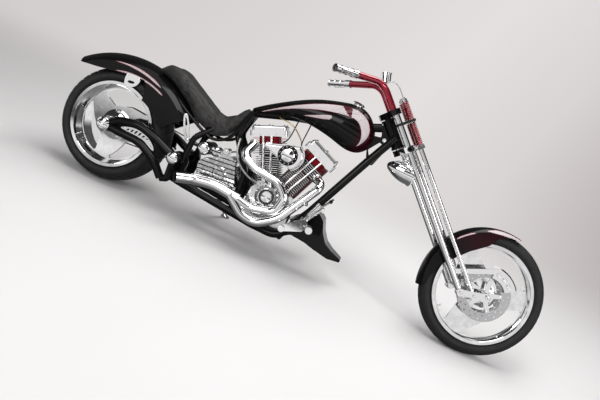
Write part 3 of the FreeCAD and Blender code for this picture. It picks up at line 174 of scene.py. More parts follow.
class Value:
    """A number in the node tree. Writing a sum with it adds the Math nodes."""

    def __init__(self, finish, socket):
        self.finish, self.socket = finish, socket

    def maths(self, operation, *values):
        return self.finish.add("Math", {"operation": operation}, dict(enumerate(values)))

    def __add__(self, other):
        return self.maths("ADD", self, other)

    def __sub__(self, other):
        return self.maths("SUBTRACT", self, other)

    def __rsub__(self, other):
        return self.maths("SUBTRACT", other, self)

    def __mul__(self, other):
        return self.maths("MULTIPLY", self, other)

    def __truediv__(self, other):
        return self.maths("DIVIDE", self, other)

    def __rtruediv__(self, other):
        return self.maths("DIVIDE", other, self)

    def __pow__(self, other):
        return self.maths("POWER", self, other)

    def __gt__(self, other):
        return self.maths("GREATER_THAN", self, other)

    def __lt__(self, other):
        return self.maths("LESS_THAN", self, other)

    def __abs__(self):
        return self.maths("ABSOLUTE", self)

    __radd__, __rmul__ = __add__, __mul__

    def most(self, other):
        return self.maths("MAXIMUM", self, other)

    def wave(self):
        return self.maths("SINE", self)

    def band(self, rise, risen, fall, fallen):
        """1 between risen and fall, 0 outside rise and fallen."""
        return self.ramp(rise, risen) * self.ramp(fall, fallen, 1.0, 0.0)

    def ramp(self, low, high, start=0.0, end=1.0):
        """Rise smoothly from start to end as this goes from low to high."""
        return self.finish.add("MapRange", {"interpolation_type": "SMOOTHSTEP"},
                               {"Value": self, "From Min": low, "From Max": high, "To Min": start,
                                "To Max": end})


def linked(name, data):
    """A new object of the scene, around the given data."""
    made = bpy.data.objects.new(name, data)
    bpy.context.scene.collection.objects.link(made)
    return made


def baked(source):
    """The mesh that an object's modifiers or its curve give. The object itself goes."""
    bpy.context.view_layer.update()
    mesh = bpy.data.meshes.new_from_object(source.evaluated_get(bpy.context.evaluated_depsgraph_get()))
    bpy.data.objects.remove(source)
    return mesh


def refaced(piece, weld=False):
    """Turn a closed mesh's faces outward, and join the points that meet on an axis if weld is set."""
    tidy = bmesh.new()
    tidy.from_mesh(piece.data)
    if weld:
        bmesh.ops.remove_doubles(tidy, verts=tidy.verts, dist=1e-6)
        bmesh.ops.dissolve_degenerate(tidy, edges=tidy.edges, dist=1e-7)
    bmesh.ops.recalc_face_normals(tidy, faces=tidy.faces)
    tidy.to_mesh(piece.data)
    tidy.free()


def along_axis(centre, axis):
    """The frame of a turned piece: z along its axis."""
    return Matrix.Translation(centre) @ axis.to_track_quat("Z", "Y").to_matrix().to_4x4()


def settled(piece, body):
    """A finished piece moves with its body."""
    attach(piece, body)
    return piece


def new_mesh(name, points, faces, material=None, smooth=True):
    """A mesh object from points in the row frame."""
    mesh = bpy.data.meshes.new(name)
    mesh.from_pydata([tuple(p) for p in points], [], faces)
    mesh.validate()
    if material:
        mesh.materials.append(material)
    for face in mesh.polygons:
        face.use_smooth = smooth
    return linked(name, mesh)


FLOOR_HALF, WALL_AT, COVE_RADIUS, WALL_TOP = 14.0, 6.0, 3.0, 9.0
CAMERA_ROLL = math.radians(24.87)
floor_finish = Finish("studio_floor", roughness=0.9, specular_ior_level=0.1)
floor_finish.set(base_color=floor_finish.mottled(1.5, (0.80, 0.79, 0.785), (0.83, 0.82, 0.82)))
x, y, z = floor_finish.split(floor_finish.place())
# the backdrop that the camera sees glows with a painted shade across it: palest near the middle, a little
# darker to the left and much darker to the right
across = x * math.cos(CAMERA_ROLL) - z * math.sin(CAMERA_ROLL)
backdrop_painted_shade = floor_finish.add("ValToRGB", {"stops": [(0.0, (0.63, 0.60, 0.60)), (0.28, (0.70, 0.67, 0.665)),
                                                 (0.50, (0.77, 0.745, 0.735)), (0.66, (0.69, 0.66, 0.65)),
                                                 (0.82, (0.49, 0.455, 0.45)), (1.0, (0.36, 0.335, 0.325))]},
                          {"Fac": across * 0.11 + 0.5})
backdrop = floor_finish.add("Emission", None, {"Color": backdrop_painted_shade, "Strength": 1.0})
by_eye, in_metal = floor_finish.add("LightPath", output=0), floor_finish.add("LightPath", output=3)
share = by_eye * y.ramp(0.7, 3.6)
blended = floor_finish.add("MixShader", None, {0: share, 1: floor_finish.shaded(), 2: backdrop})
# in reflections the floor is an emission that paints a mottled sheen in front, a painted shadow under the
# machine, and fades out all round
away = (x * x * 0.3 + (y + 1.0) ** 2.0) ** 0.5
patches = floor_finish.noise(1.1) * 0.5 + 0.72
close, distant, painted_shadow_beneath = (0.9, 1.9, 0.62, 0.95), (4.6, 6.2, 1.0, 0.10), (0.30, 1.0, 0.20, 1.0)
sheen = away.ramp(*close) * patches * away.ramp(*distant) * abs(y).ramp(*painted_shadow_beneath)
sheen_colour = floor_finish.mix(sheen, (0.0, 0.0, 0.0), (1.0, 0.99, 0.99))
mirrored_floor = floor_finish.add("Emission", None, {"Color": sheen_colour, "Strength": 1.0})
blended = floor_finish.add("MixShader", None, {0: in_metal, 1: blended, 2: mirrored_floor})
floor_finish.tree.links.new(blended.socket, floor_finish.tree.nodes["Material Output"].inputs["Surface"])

section = [(-FLOOR_HALF, 0.0), (WALL_AT - COVE_RADIUS, 0.0)]
for step in range(1, 25):
    bend = step / 24 * math.pi / 2
    section.append((WALL_AT - COVE_RADIUS + COVE_RADIUS * math.sin(bend), COVE_RADIUS * (1 - math.cos(bend))))
section.append((WALL_AT, WALL_TOP))
sweep_points = [(x, y, z) for y, z in section for x in (-FLOOR_HALF, FLOOR_HALF)]
sweep_faces = [(2 * i, 2 * i + 1, 2 * i + 3, 2 * i + 2) for i in range(len(section) - 1)]
new_mesh("studio_sweep", sweep_points, sweep_faces, floor_finish.material)

# what polished metal sees of the room: white cards behind the camera and at each end, dark between them
world = bpy.context.scene.world or bpy.data.worlds.new("studio")
bpy.context.scene.world = world
world.use_nodes = True
room = Nodes(world.node_tree)
east, north, height = room.split(room.add("TexCoord"))
heading = room.add("Math", {"operation": "ARCTAN2"}, {0: east, 1: 0.0 - north})
CARDS = (
    # heading from behind the camera, half width, lowest, highest, brightness
    (0.10, 0.72, 0.0, 0.27, 0.85), (0.1, 0.80, 0.50, 0.62, 1.0), (1.45, 0.22, -0.2, 0.55, 0.9),
    (-1.45, 0.26, -0.2, 0.55, 0.9), (0.0, 3.2, 0.86, 1.1, 1.0),
)
glow = 0.035
for middle, half, low, high, bright in CARDS:
    card = abs(heading - middle).ramp(half - 0.05, half + 0.05, 1.0, 0.0)
    card = card * height.ramp(low - 0.04, low + 0.04) * height.ramp(high - 0.04, high + 0.04, bright, 0.0)
    glow = card.most(glow) if isinstance(glow, float) else glow.most(card)
PLAIN_LEVEL = 0.30
mirrored = room.add("LightPath", output=3)
room.plug(world.node_tree.nodes["Background"].inputs["Strength"],
          mirrored * glow + (1.0 - mirrored) * PLAIN_LEVEL)
world.node_tree.nodes["Background"].inputs["Color"].default_value = (0.98, 0.97, 0.97, 1.0)

SOFTBOXES = (
    # name, place, aimed at, width, length, watts
    ("overhead", (0.3, 0.2, 3.6), (0.2, 0.0, 0.0), 1.6, 5.0, 120),
    ("front_fill", (-1.6, -4.2, 2.6), (0.0, 0.0, 0.5), 2.4, 1.6, 60),
    ("right_strip", (3.6, -2.2, 2.2), (0.6, 0.0, 0.6), 0.8, 2.4, 45),
)
for name, place, aim, width, length, watts in SOFTBOXES:
    lamp = bpy.data.lights.new(name, "AREA")
    lamp.shape, lamp.size, lamp.size_y, lamp.energy = "RECTANGLE", width, length, watts
    linked(name, lamp).matrix_world = Matrix.Translation(place) @ (
        Vector(aim) - Vector(place)).to_track_quat("-Z", "Y").to_matrix().to_4x4()

# ------------------------------------------------------------------ camera
# A long way to the right at bar height, tipped over so that the machine runs down across the frame.
CAMERA_PLACE = Vector((1.4306, -3.4478, 0.8771))
CAMERA_HEADING, CAMERA_DIP = math.radians(94.79), math.radians(8.125)
look = Vector((math.cos(CAMERA_HEADING) * math.cos(CAMERA_DIP),
               math.sin(CAMERA_HEADING) * math.cos(CAMERA_DIP), -math.sin(CAMERA_DIP)))
level = look.cross(Vector((0, 0, 1))).normalized()
turn_right = level * math.cos(CAMERA_ROLL) + level.cross(look) * math.sin(CAMERA_ROLL)
camera = bpy.data.cameras.new("camera")
camera.lens, camera.sensor_width = 37.2, 36.0
camera_object = linked("camera", camera)
axes = Matrix((turn_right, turn_right.cross(look), -look)).transposed().to_4x4()
camera_object.matrix_world = BIKE @ Matrix.Translation(CAMERA_PLACE) @ axes
bpy.context.scene.camera = camera_object
bpy.context.scene.view_settings.view_transform = "Standard"


def dress(finish, *names):
    """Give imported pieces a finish."""
    for name in names:
        mesh = node[name].data
        mesh.materials.clear()
        mesh.materials.append(finish.material)


# ------------------------------------------------------------------ chrome
# Show chrome on steel and machined parts: a bright mirror with the faint haze that polishing leaves.
chrome = Finish("chrome", metallic=1.0)
PLATE_DULL, PLATE_BRIGHT = (0.84, 0.84, 0.85), (0.90, 0.89, 0.89)
chrome.set(base_color=chrome.mottled(9, PLATE_DULL, PLATE_BRIGHT),
           roughness=chrome.noise(60, 3).ramp(0.3, 0.8, 0.03, 0.08))
dress(chrome, "rigid_legs", "spring_legs", "rockers", "front_axle", "rear_axle", "front_rocker_box",
      "rear_rocker_box", "pushrods", "front_caliper", "air_cleaner", "foot_controls", "side_stand", "grips",
      "gauge")

# ------------------------------------------------------------------ tyres
# Low black tyres, a broad one behind and a narrow one in front. The tread is cut into the crown as
# curved grooves that meet at a plain middle rib, and the walls carry fine moulded rings.
rubber = Finish("tyre_rubber", base_color=(0.016, 0.016, 0.017))
grain = rubber.noise(900, 2)
rubber.set(roughness=rubber.noise(25, 3).ramp(0.3, 0.7, 0.52, 0.72), specular_ior_level=0.35)
rubber.bump(grain, 0.25, 0.0006)

WHEELS = {
    # name: centre, leftward axle, radius, width, drop of the crown, bead radius, bead half width,
    # grooves round
    "rear": (BIKE @ Vector((0, 0, REAR_RADIUS)), left, REAR_RADIUS, 0.240, 0.038, 0.2292, 0.1025, 40),
    "front": (STEERED @ Vector((WHEELBASE, 0, FRONT_RADIUS)), front_left, FRONT_RADIUS, 0.092, 0.025, 0.2673,
              0.0345, 52),
}
CROWN_SHARE, GROOVE_DEPTH, AROUND = 0.94, 0.0045, 720
RING_HEIGHT, RING_WAVES, RINGS_FROM = 0.0006, 900, 1.12


def arc_points(a, b, c, count):
    """Points on the circle through a, b and c, from a to c."""
    (ax, ay), (bx, by), (cx, cy) = a, b, c
    d = 2 * (ax * (by - cy) + bx * (cy - ay) + cx * (ay - by))
    sa, sb, sc = ax * ax + ay * ay, bx * bx + by * by, cx * cx + cy * cy
    ux = (sa * (by - cy) + sb * (cy - ay) + sc * (ay - by)) / d
    uy = (sa * (cx - bx) + sb * (ax - cx) + sc * (bx - ax)) / d
    start, middle, end = (math.atan2(y - uy, x - ux) for x, y in (a, b, c))
    whole = 2 * math.pi
    sweep = (end - start) % whole
    if (middle - start) % whole > sweep:
        sweep -= whole
    r = math.hypot(ax - ux, ay - uy)
    return [(ux + r * math.cos(start + sweep * i / count), uy + r * math.sin(start + sweep * i / count))
            for i in range(count + 1)]


def groove(share, angle, repeats):
    """How deep the tread is cut, 0 to 1, at a share -1 to 1 across the crown and an angle round it."""
    across = abs(share)
    if across > 0.93 or across < 0.10:
        return 0.0
    phase = (angle * repeats / (2 * math.pi) + 0.55 * across ** 1.5 * 1.6 + (0.5 if share < 0 else 0.0)) % 1.0
    wide = 0.07 + 0.06 * across
    sloped = max(0.0, 1.0 - abs(phase - 0.5) / wide)
    rib = max(0.0, 1.0 - abs(across - 0.12) / 0.035) * 0.7
    return min(1.0, max(sloped * 1.6, rib))


def wheel_axes(centre, axle):
    """The frame of a wheel: x forward, y along its axle to the left, z up."""
    ahead = axle.cross(Vector((0, 0, 1))).normalized()
    return Matrix.Translation(centre) @ Matrix((ahead, axle, ahead.cross(axle))).transposed().to_4x4()


for name, (centre, axle, radius, width, drop, bead, bead_half, repeats) in WHEELS.items():
    half, top = width / 2, radius - drop
    shoulder = half * CROWN_SHARE
    belly = (top + bead + 0.013) / 2
    across = 64 if name == "rear" else 40
    crown = arc_points((-shoulder, top), (0, radius), (shoulder, top), across)
    wall = arc_points((shoulder, top), (half, belly), (bead_half, bead + 0.020), 14)[1:]
    profile = [(-y, r) for y, r in reversed(wall)] + crown + wall
    profile = [(-bead_half, bead)] + profile + [(bead_half, bead)]
    walls = len(wall)
    points, faces = [], []
    lay = wheel_axes(centre, axle)
    for i in range(AROUND):
        angle = 2 * math.pi * i / AROUND
        for k, (y, r) in enumerate(profile):
            share = (k - 1 - walls) / across * 2 - 1
            depth = groove(share, angle, repeats) * GROOVE_DEPTH if abs(share) <= 1 else 0.0
            on_wall = abs(share) > RINGS_FROM and 0 < k < len(profile) - 1
            moulded = RING_HEIGHT * math.sin((r - bead) * RING_WAVES) if on_wall else 0.0
            r = r - depth
            y = y + math.copysign(moulded, y)
            points.append(lay @ Vector((r * math.cos(angle), y, r * math.sin(angle))))
    count = len(profile)
    for i in range(AROUND):
        here, there = i * count, (i + 1) % AROUND * count
        for k in range(count):
            n = (k + 1) % count
            faces.append((here + k, there + k, there + n, here + n))
    tread = new_mesh(name + "_tread_tyre", points, faces, rubber.material)
    refaced(tread)
    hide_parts(name + "_tyre")
    settled(tread, name + "_wheel")


def out_from(a, b):
    """How far a point lies from an axis, by its two coordinates across it."""
    return (a ** 2.0 + b ** 2.0) ** 0.5


# ------------------------------------------------------------------ fork trees and clamp screws
# Two slabs cut from plate clamp the legs. The upper one is lacquered black; the lower one, its round caps
# and the spring perch are chromed. Pinch screws close each clamp.
BLACK = (0.004, 0.004, 0.0045)


def lacquered(name):
    """Black paint under clear coat, with the slight waviness of sprayed lacquer."""
    paint = Finish(name, base_color=BLACK, roughness=0.30, coat_roughness=0.02, specular_ior_level=0.04)
    paint.set(coat_weight=paint.noise(3, 1).ramp(0.2, 0.8, 0.24, 0.32))
    paint.bump(paint.noise(7, 2), 0.06, 0.003)
    return paint


tree_finish = lacquered("fork_tree_finish")
ahead, side, up = tree_finish.split(tree_finish.place(FORK))
plated = (up < 1.240).most((up > 1.338) * (up < 1.364))
LEG_AHEAD, LOWER_TREE, UPPER_TREE = 0.036, 1.212, 1.422
from_cap = out_from(ahead - LEG_AHEAD, up - LOWER_TREE)
plated = plated * (1.0 - (abs(side) > 0.1422) * (from_cap < 0.0085))
tree_finish.set(base_color=tree_finish.mix(plated, BLACK, (0.87, 0.87, 0.88)), metallic=plated,
                roughness=plated.ramp(0.0, 1.0, 0.22, 0.05), coat_weight=(1.0 - plated) * 0.4)
dress(tree_finish, "fork_trees")


class Geometry:
    """A geometry node tree with named inputs for its sizes."""

    def __init__(self, name, **sizes):
        self.tree = bpy.data.node_groups.new(name, "GeometryNodeTree")
        face = self.tree.interface
        face.new_socket("Geometry", in_out="INPUT", socket_type="NodeSocketGeometry")
        self.identifiers = {}
        for size, kind in sizes.items():
            made = face.new_socket(size, in_out="INPUT", socket_type="NodeSocket" + kind)
            self.identifiers[size] = made.identifier
        face.new_socket("Geometry", in_out="OUTPUT", socket_type="NodeSocketGeometry")
        self.given = self.tree.nodes.new("NodeGroupInput").outputs
        self.result = self.tree.nodes.new("NodeGroupOutput")

    def add(self, kind, settings=None, sockets=None):
        made = self.tree.nodes.new(kind)
        for name, value in (settings or {}).items():
            setattr(made, name, value)
        for name, value in (sockets or {}).items():
            if isinstance(value, bpy.types.NodeSocket):
                self.tree.links.new(value, made.inputs[name])
            else:
                made.inputs[name].default_value = value
        return made.outputs

    def end(self, geometry):
        """Real geometry with the given finish, as the tree's result."""
        real = self.add("GeometryNodeRealizeInstances", None, {"Geometry": geometry})[0]
        finished = self.add("GeometryNodeSetMaterial", None,
                            {"Geometry": real, "Material": self.given["Finish"]})[0]
        self.tree.links.new(finished, self.result.inputs[0])

    def made(self, name, start, finish, place=None, **values):
        """Run the tree on a starting mesh and return the result as a plain mesh object, put in its place."""
        source = linked(name, start)
        modifier = source.modifiers.new("nodes", "NODES")
        modifier.node_group = self.tree
        modifier[self.identifiers["Finish"]] = finish.material
        for size, value in values.items():
            modifier[self.identifiers[size]] = value
        mesh = baked(source)
        mesh.transform(place or Matrix())
        mesh.name = name
        return linked(name, mesh)


# a socket screw of radius and height 1, its edge turned down and its socket bored
screw = Geometry("socket_screws", Finish="Material")
blank = screw.add("GeometryNodeMeshCylinder", {"fill_type": "NGON"}, {"Vertices": 14, "Radius": 1.0,
                                                                      "Depth": 0.8})
edge = screw.add("GeometryNodeExtrudeMesh", None, {"Mesh": blank["Mesh"], "Selection": blank["Top"],
                                                   "Offset Scale": 0.2})
crown = screw.add("GeometryNodeScaleElements", None, {"Geometry": edge["Mesh"], "Selection": edge["Top"],
                                                      "Scale": 0.84})
land = screw.add("GeometryNodeExtrudeMesh", None, {"Mesh": crown[0], "Selection": edge["Top"],
                                                   "Offset Scale": 0.0})
inner = screw.add("GeometryNodeScaleElements", None, {"Geometry": land["Mesh"], "Selection": land["Top"],
                                                      "Scale": 0.62})
bored = screw.add("GeometryNodeExtrudeMesh", None, {"Mesh": inner[0], "Selection": land["Top"],
                                                    "Offset Scale": -0.5})
seated = screw.add("GeometryNodeTransform", None, {"Geometry": bored["Mesh"], "Translation": (0, 0, 0.4)})
facing = screw.add("GeometryNodeInputNamedAttribute", {"data_type": "FLOAT_VECTOR"}, {"Name": "axis"})
sized = screw.add("GeometryNodeInputNamedAttribute", {"data_type": "FLOAT_VECTOR"}, {"Name": "size"})
turned_to = screw.add("FunctionNodeAlignRotationToVector", {"axis": "Z"}, {"Vector": facing[0]})
placed = screw.add("GeometryNodeInstanceOnPoints", None, {
    "Points": screw.given["Geometry"], "Instance": seated[0], "Rotation": turned_to[0], "Scale": sized[0]})
screw.end(placed[0])


def screws(name, places, body):
    """Chromed screw heads. Each place is a point, the way the head faces, its radius and its height."""
    seeds = bpy.data.meshes.new(name)
    seeds.from_pydata([p for p, *_ in places], [], [])
    for attribute, values in (("axis", [a for _, a, _, _ in places]),
                              ("size", [(r, r, h) for _, _, r, h in places])):
        layer = seeds.attributes.new(attribute, "FLOAT_VECTOR", "POINT")
        for item, value in zip(layer.data, values):
            item.vector = value
    return settled(screw.made(name, seeds, chrome), body)


pinches = []
for level in (LOWER_TREE, UPPER_TREE):
    for s in (-1, 1):
        for inner_side in (0.062, 0.084):
            pinches.append((STEERED @ fork(level, LEG_AHEAD + 0.020, s * inner_side),
                            FORK.to_3x3() @ Vector((1, 0, 0)), 0.006, 0.009))
screws("clamp_screws", pinches, "steering")

# ------------------------------------------------------------------ fork springs
# Four coils of red-painted wire on the two spring rods, two under the perch and two above it. Each is a
# helix whose ends close up against its seats.
candy = Finish("candy_red", metallic=0.85, coat_weight=1.0, coat_roughness=0.03)
candy.set(base_color=candy.mottled(400, (0.20, 0.002, 0.010), (0.32, 0.006, 0.018)),
          roughness=0.22)

SPRING_AHEAD, SPRING_SIDE, SPRING_RADIUS, WIRE = 0.112, 0.042, 0.0190, 0.0037
YOKE, PERCH_LOW, PERCH_HIGH, SPRING_TOP = 1.212, 1.344, 1.358, 1.462
COIL_PITCH = 0.0098

coil = Geometry("coil_spring", Turns="Float", Height="Float", Radius="Float", Wire="Float", Finish="Material")
spiral = coil.add("GeometryNodeCurveSpiral", None, {
    "Resolution": 32, "Rotations": coil.given["Turns"], "Start Radius": coil.given["Radius"],
    "End Radius": coil.given["Radius"], "Height": coil.given["Height"], "Reverse": False})
wire = coil.add("GeometryNodeCurvePrimitiveCircle", {"mode": "RADIUS"},
                {"Resolution": 10, "Radius": coil.given["Wire"]})
swept = coil.add("GeometryNodeCurveToMesh", None, {"Curve": spiral[0], "Profile Curve": wire[0],
                                                   "Fill Caps": True})
coil.end(coil.add("GeometryNodeSetShadeSmooth", None, {"Geometry": swept[0]})[0])

springs = []
for side in (-1, 1):
    for low, high in ((YOKE, PERCH_LOW), (PERCH_HIGH, SPRING_TOP)):
        height = high - low - 2 * WIRE
        foot = Matrix.Translation((SPRING_AHEAD, side * SPRING_SIDE, low + WIRE))
        name = "spring_%s_%d" % ("left" if side > 0 else "right", round(low * 1000))
        springs.append(coil.made(name, bpy.data.meshes.new("seed"), candy, FORK @ foot,
                                 Turns=round(height / COIL_PITCH), Height=height,
                                 Radius=SPRING_RADIUS - WIRE, Wire=WIRE))
for spring in springs:
    settled(spring, "steering")
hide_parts("fork_springs")

# ------------------------------------------------------------------ handlebar, grips and gauge
# Two bent tubes in candy red end in plated stubs that carry turned sleeves and levers. A small gauge
# stands on the cross bar, with a printed dial under its rim.
bar_paint = Finish("bar_paint", coat_weight=1.0, coat_roughness=0.02)
ahead, side, up = bar_paint.split(bar_paint.place(FORK))
BAR_BEND, BAR_TIP = Vector((0.038, 0.050, 1.592)), Vector((-0.204, 0.272, 1.729))
bar_out = (BAR_TIP - BAR_BEND).normalized()
past_tip = ahead - BAR_TIP.x, abs(side) - BAR_TIP.y, up - BAR_TIP.z
along_bar = past_tip[0] * bar_out.x + past_tip[1] * bar_out.y + past_tip[2] * bar_out.z
stub = along_bar > -0.157
flake = bar_paint.mottled(500, (0.27, 0.002, 0.018), (0.42, 0.005, 0.030))
bar_paint.set(base_color=bar_paint.mix(stub, flake, (0.87, 0.87, 0.88)), metallic=stub * 0.2 + 0.8,
              roughness=stub.ramp(0, 1, 0.24, 0.06), coat_weight=1.0 - stub)
dress(bar_paint, "handlebar")


def turned(name, profile, centre, axis, finish, sides=72):
    """A turned piece. profile lists distance along the axis and radius, all the way round its section."""
    lie, count = along_axis(centre, axis), len(profile)
    points = [lie @ Vector((r * math.cos(a), r * math.sin(a), along))
              for a in (2 * math.pi * i / sides for i in range(sides)) for along, r in profile]
    faces = [(i * count + k, (i + 1) % sides * count + k, (i + 1) % sides * count + (k + 1) % count,
              i * count + (k + 1) % count) for i in range(sides) for k in range(count)]
    piece = new_mesh(name, points, faces, finish.material)
    refaced(piece, weld=True)
    piece.data.set_sharp_from_angle(angle=math.radians(32))
    return piece


gauge_axis = (FORK.to_3x3() @ Vector((0.425, 0, 0.905))).normalized()
gauge_foot = FORK @ Vector((0.038, 0, 1.556)) + gauge_axis * 0.012
dial = Finish("dial", roughness=0.35, coat_weight=1.0, coat_roughness=0.03)
x, y, z = dial.split(dial.place(along_axis(gauge_foot, gauge_axis)))
reach = out_from(x, y)
TICKS_ROUND, TICK_FROM, TICK_TO = 24.0, 0.020, 0.0245
bearing = dial.add("Math", {"operation": "ARCTAN2"}, {0: x, 1: y})
ticks = ((bearing * TICKS_ROUND).wave() > 0.86) * (reach > TICK_FROM) * (reach < TICK_TO)
dial_card = dial.mottled(90, (0.82, 0.81, 0.77), (0.88, 0.87, 0.84))
dial.set(base_color=dial.mix(ticks, dial_card, (0.02, 0.02, 0.02)))
DIAL_PLATE = [(0.0812, 0), (0.0812, 0.0268), (0.0820, 0.0268), (0.0820, 0)]
settled(turned("gauge_dial", DIAL_PLATE, gauge_foot, gauge_axis, dial), "steering")
needle_end = gauge_axis.orthogonal().normalized() * 0.019
needle_side = gauge_axis.cross(needle_end).normalized() * 0.0012
needle_at = gauge_foot + gauge_axis * 0.0828
needle_tail = needle_at - needle_end * 0.3
needle_points = [needle_tail - needle_side, needle_tail + needle_side, needle_at + needle_end,
                 needle_at + gauge_axis * 0.0008]
needle_faces = [(0, 1, 3), (1, 2, 3), (2, 0, 3), (0, 2, 1)]
needle = new_mesh("gauge_needle", needle_points, needle_faces, candy.material, False)
settled(needle, "steering")

# ------------------------------------------------------------------ headlight
# A spun bullet shell, plated, with a glass lens ribbed to spread the beam and held by a plain rim.
LAMP = STEERED @ Matrix.Translation((1.494, 0, 0.770)) @ Matrix.Rotation(-math.atan(0.02), 4, "Y")
lamp_finish = Finish("lamp_shell_and_lens", metallic=1.0)
x, y, z = lamp_finish.split(lamp_finish.place(LAMP))
lens = (x > 0.1565) * (out_from(y, z) < 0.0605)
ribs = (y * 900.0).wave() * lens
# the lens colour runs light and dark with its ribs: painted glints and shade on the ribbed glass
glass_with_painted_glints = lamp_finish.mix(ribs.ramp(-1, 1), (0.30, 0.33, 0.36), (0.62, 0.66, 0.70))
lamp_finish.set(base_color=lamp_finish.mix(lens, (0.87, 0.87, 0.88), glass_with_painted_glints), metallic=1.0 - lens * 0.6,
                roughness=lens.ramp(0, 1, 0.05, 0.10), coat_weight=lens)
lamp_finish.bump(ribs, 0.5, 0.0012)
dress(lamp_finish, "headlight")

# ------------------------------------------------------------------ control cable
# The throttle cable leaves the right bar and drops in one arc to the nut on the right spring rod. It is a
# wire in a braided steel sheath.
braid = Finish("steel_braid", metallic=0.9, base_color=(0.55, 0.55, 0.56), roughness=0.32)
x, y, z = braid.split(braid.place(FORK))
weave = ((x + z) * 2600.0).wave() * ((x - z) * 2600.0).wave()
braid.set(base_color=braid.mix(weave.ramp(-0.6, 0.6), (0.28, 0.28, 0.29), (0.72, 0.72, 0.73)))
braid.bump(weave, 0.6, 0.0004)


def piped(name, route, radius, finish, sides=4):
    """A line that bends smoothly along its route."""
    curve = bpy.data.curves.new(name, "CURVE")
    curve.dimensions, curve.resolution_u, curve.use_fill_caps = "3D", 10, True
    curve.bevel_depth, curve.bevel_resolution = radius, sides
    curve.materials.append(finish.material)
    spline = curve.splines.new("NURBS")
    spline.points.add(len(route) - 1)
    for point, place in zip(spline.points, route):
        point.co = (*place, 1.0)
    spline.order_u, spline.use_endpoint_u = 3, True
    return linked(name, curve)


def solid_line(name, route, radius, finish, sides=4):
    """The same as a mesh, for a line of bent steel."""
    return linked(name, baked(piped(name, route, radius, finish, sides)))


CABLE = [(1.582, 0.046, -0.056), (1.588, 0.064, -0.058), (1.584, 0.084, -0.058), (1.568, 0.100, -0.056),
         (1.546, 0.109, -0.052), (1.516, 0.112, -0.046), (1.486, 0.112, -0.042)]
cable_route = [FORK @ Vector((ahead, side, up)) for up, ahead, side in CABLE]
cable = settled(piped("throttle_cable", cable_route, 0.003, braid), "steering")
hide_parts("control_cables")

# ------------------------------------------------------------------ frame and swingarm
# Welded steel tube in gloss black. Each swingarm side has a polished insert with slanted slots, screwed on
# over its web, and domed caps cover the pivot.
lacquer = lacquered("frame_lacquer")
dress(lacquer, "neck", "backbone", "frame_cradle", "swingarm", "chin_spoiler")
RIGHT, LEFT = -left, left
SIDES = ((-1, RIGHT, "right"), (1, LEFT, "left"))
ARM_FACE, ARM_OUT = 0.1855, 0.206


def upright(y):
    """The frame of a flat piece that stands across the machine at y: x forward, y up."""
    return BIKE @ Matrix(((1, 0, 0, 0), (0, 0, -1, y), (0, 1, 0, 0), (0, 0, 0, 1)))


def cut_sheet(name, outlines, thick, place, finish, edge=0.0006):
    """A flat plate with softened edges. The first outline is its rim and the rest are holes."""
    curve = bpy.data.curves.new(name, "CURVE")
    curve.dimensions, curve.fill_mode, curve.resolution_u = "2D", "BOTH", 6
    curve.extrude, curve.bevel_depth, curve.bevel_resolution = thick / 2 - edge, edge, 1
    curve.offset = -edge
    for outline in outlines:
        spline = curve.splines.new("NURBS")
        spline.points.add(len(outline) - 1)
        for point, (u, v) in zip(spline.points, outline):
            point.co = (u, v, 0.0, 1.0)
        spline.order_u, spline.use_cyclic_u = 3, True
    mesh = baked(linked(name, curve))
    mesh.transform(place)
    mesh.materials.clear()
    mesh.materials.append(finish.material)
    return linked(name, mesh)


INSERT = [(0.094, 0.340), (0.094, 0.350), (0.130, 0.366), (0.180, 0.377), (0.250, 0.364), (0.296, 0.336),
          (0.318, 0.306), (0.306, 0.302), (0.262, 0.324), (0.224, 0.340)]
SLOT_FOOT, SLOT_LONG, SLOT_SLANT = 0.345, 0.011, 0.009
# how far ahead each slot's foot is and how high its top
SLOTS = ((0.126, 0.358), (0.150, 0.363), (0.174, 0.366), (0.198, 0.366), (0.222, 0.360), (0.246, 0.352))
slots = [[(x, SLOT_FOOT), (x + SLOT_LONG, SLOT_FOOT), (x + SLOT_LONG + SLOT_SLANT, top),
          (x + SLOT_SLANT, top)] for x, top in SLOTS]
insert_alloy = Finish("brushed_alloy", metallic=1.0)
brushing = insert_alloy.noise(60, 2, insert_alloy.place(BIKE), (1, 1, 30))
insert_alloy.set(base_color=insert_alloy.mix(brushing.ramp(0.3, 0.7), (0.74, 0.74, 0.75), (0.88, 0.88, 0.88)),
                 roughness=brushing.ramp(0.3, 0.7, 0.24, 0.34))


def bolt_circle(x, y, z, radius, count, first=0.0):
    """Points evenly round a centre on a side face. first is the first one's share of a step."""
    angles = [2 * math.pi * (step + first) / count for step in range(count)]
    return [at(x + radius * math.cos(angle), y, z + radius * math.sin(angle)) for angle in angles]


DOME = [(0, 0), (0, 0.031), (0.004, 0.031), (0.008, 0.026), (0.0105, 0.016), (0.0115, 0)]
arm_screws = []
for s, outward, word in SIDES:
    insert_lie = upright(s * (ARM_FACE + 0.0015))
    insert = cut_sheet("swingarm_insert_" + word, [INSERT] + slots, 0.003, insert_lie, insert_alloy)
    settled(insert, "frame")
    pivot_end = at(0.433, s * ARM_OUT, 0.318)
    settled(turned("pivot_cap_" + word, DOME, pivot_end, outward, chrome), "frame")
    insert_ends = [at(x, s * (ARM_FACE + 0.003), z) for x, z in ((0.110, 0.350), (0.290, 0.325))]
    arm_screws += [(place, outward, 0.0035, 0.003) for place in insert_ends]
    axle_cap = bolt_circle(0.0, s * (ARM_OUT + 0.0085), REAR_RADIUS, 0.022, 5, 0.25)
    arm_screws += [(place, outward, 0.0045, 0.006) for place in axle_cap]
screws("swingarm_screws", arm_screws, "frame")
NECK_SWITCH = [(0, 0), (0, 0.013), (0.016, 0.013), (0.019, 0.010), (0.019, 0.006), (0.016, 0.005), (0.016, 0)]
switch_at = at(1.425, -0.0135, 0.882)
settled(turned("ignition_switch", NECK_SWITCH, switch_at, RIGHT, chrome, 32), "frame")
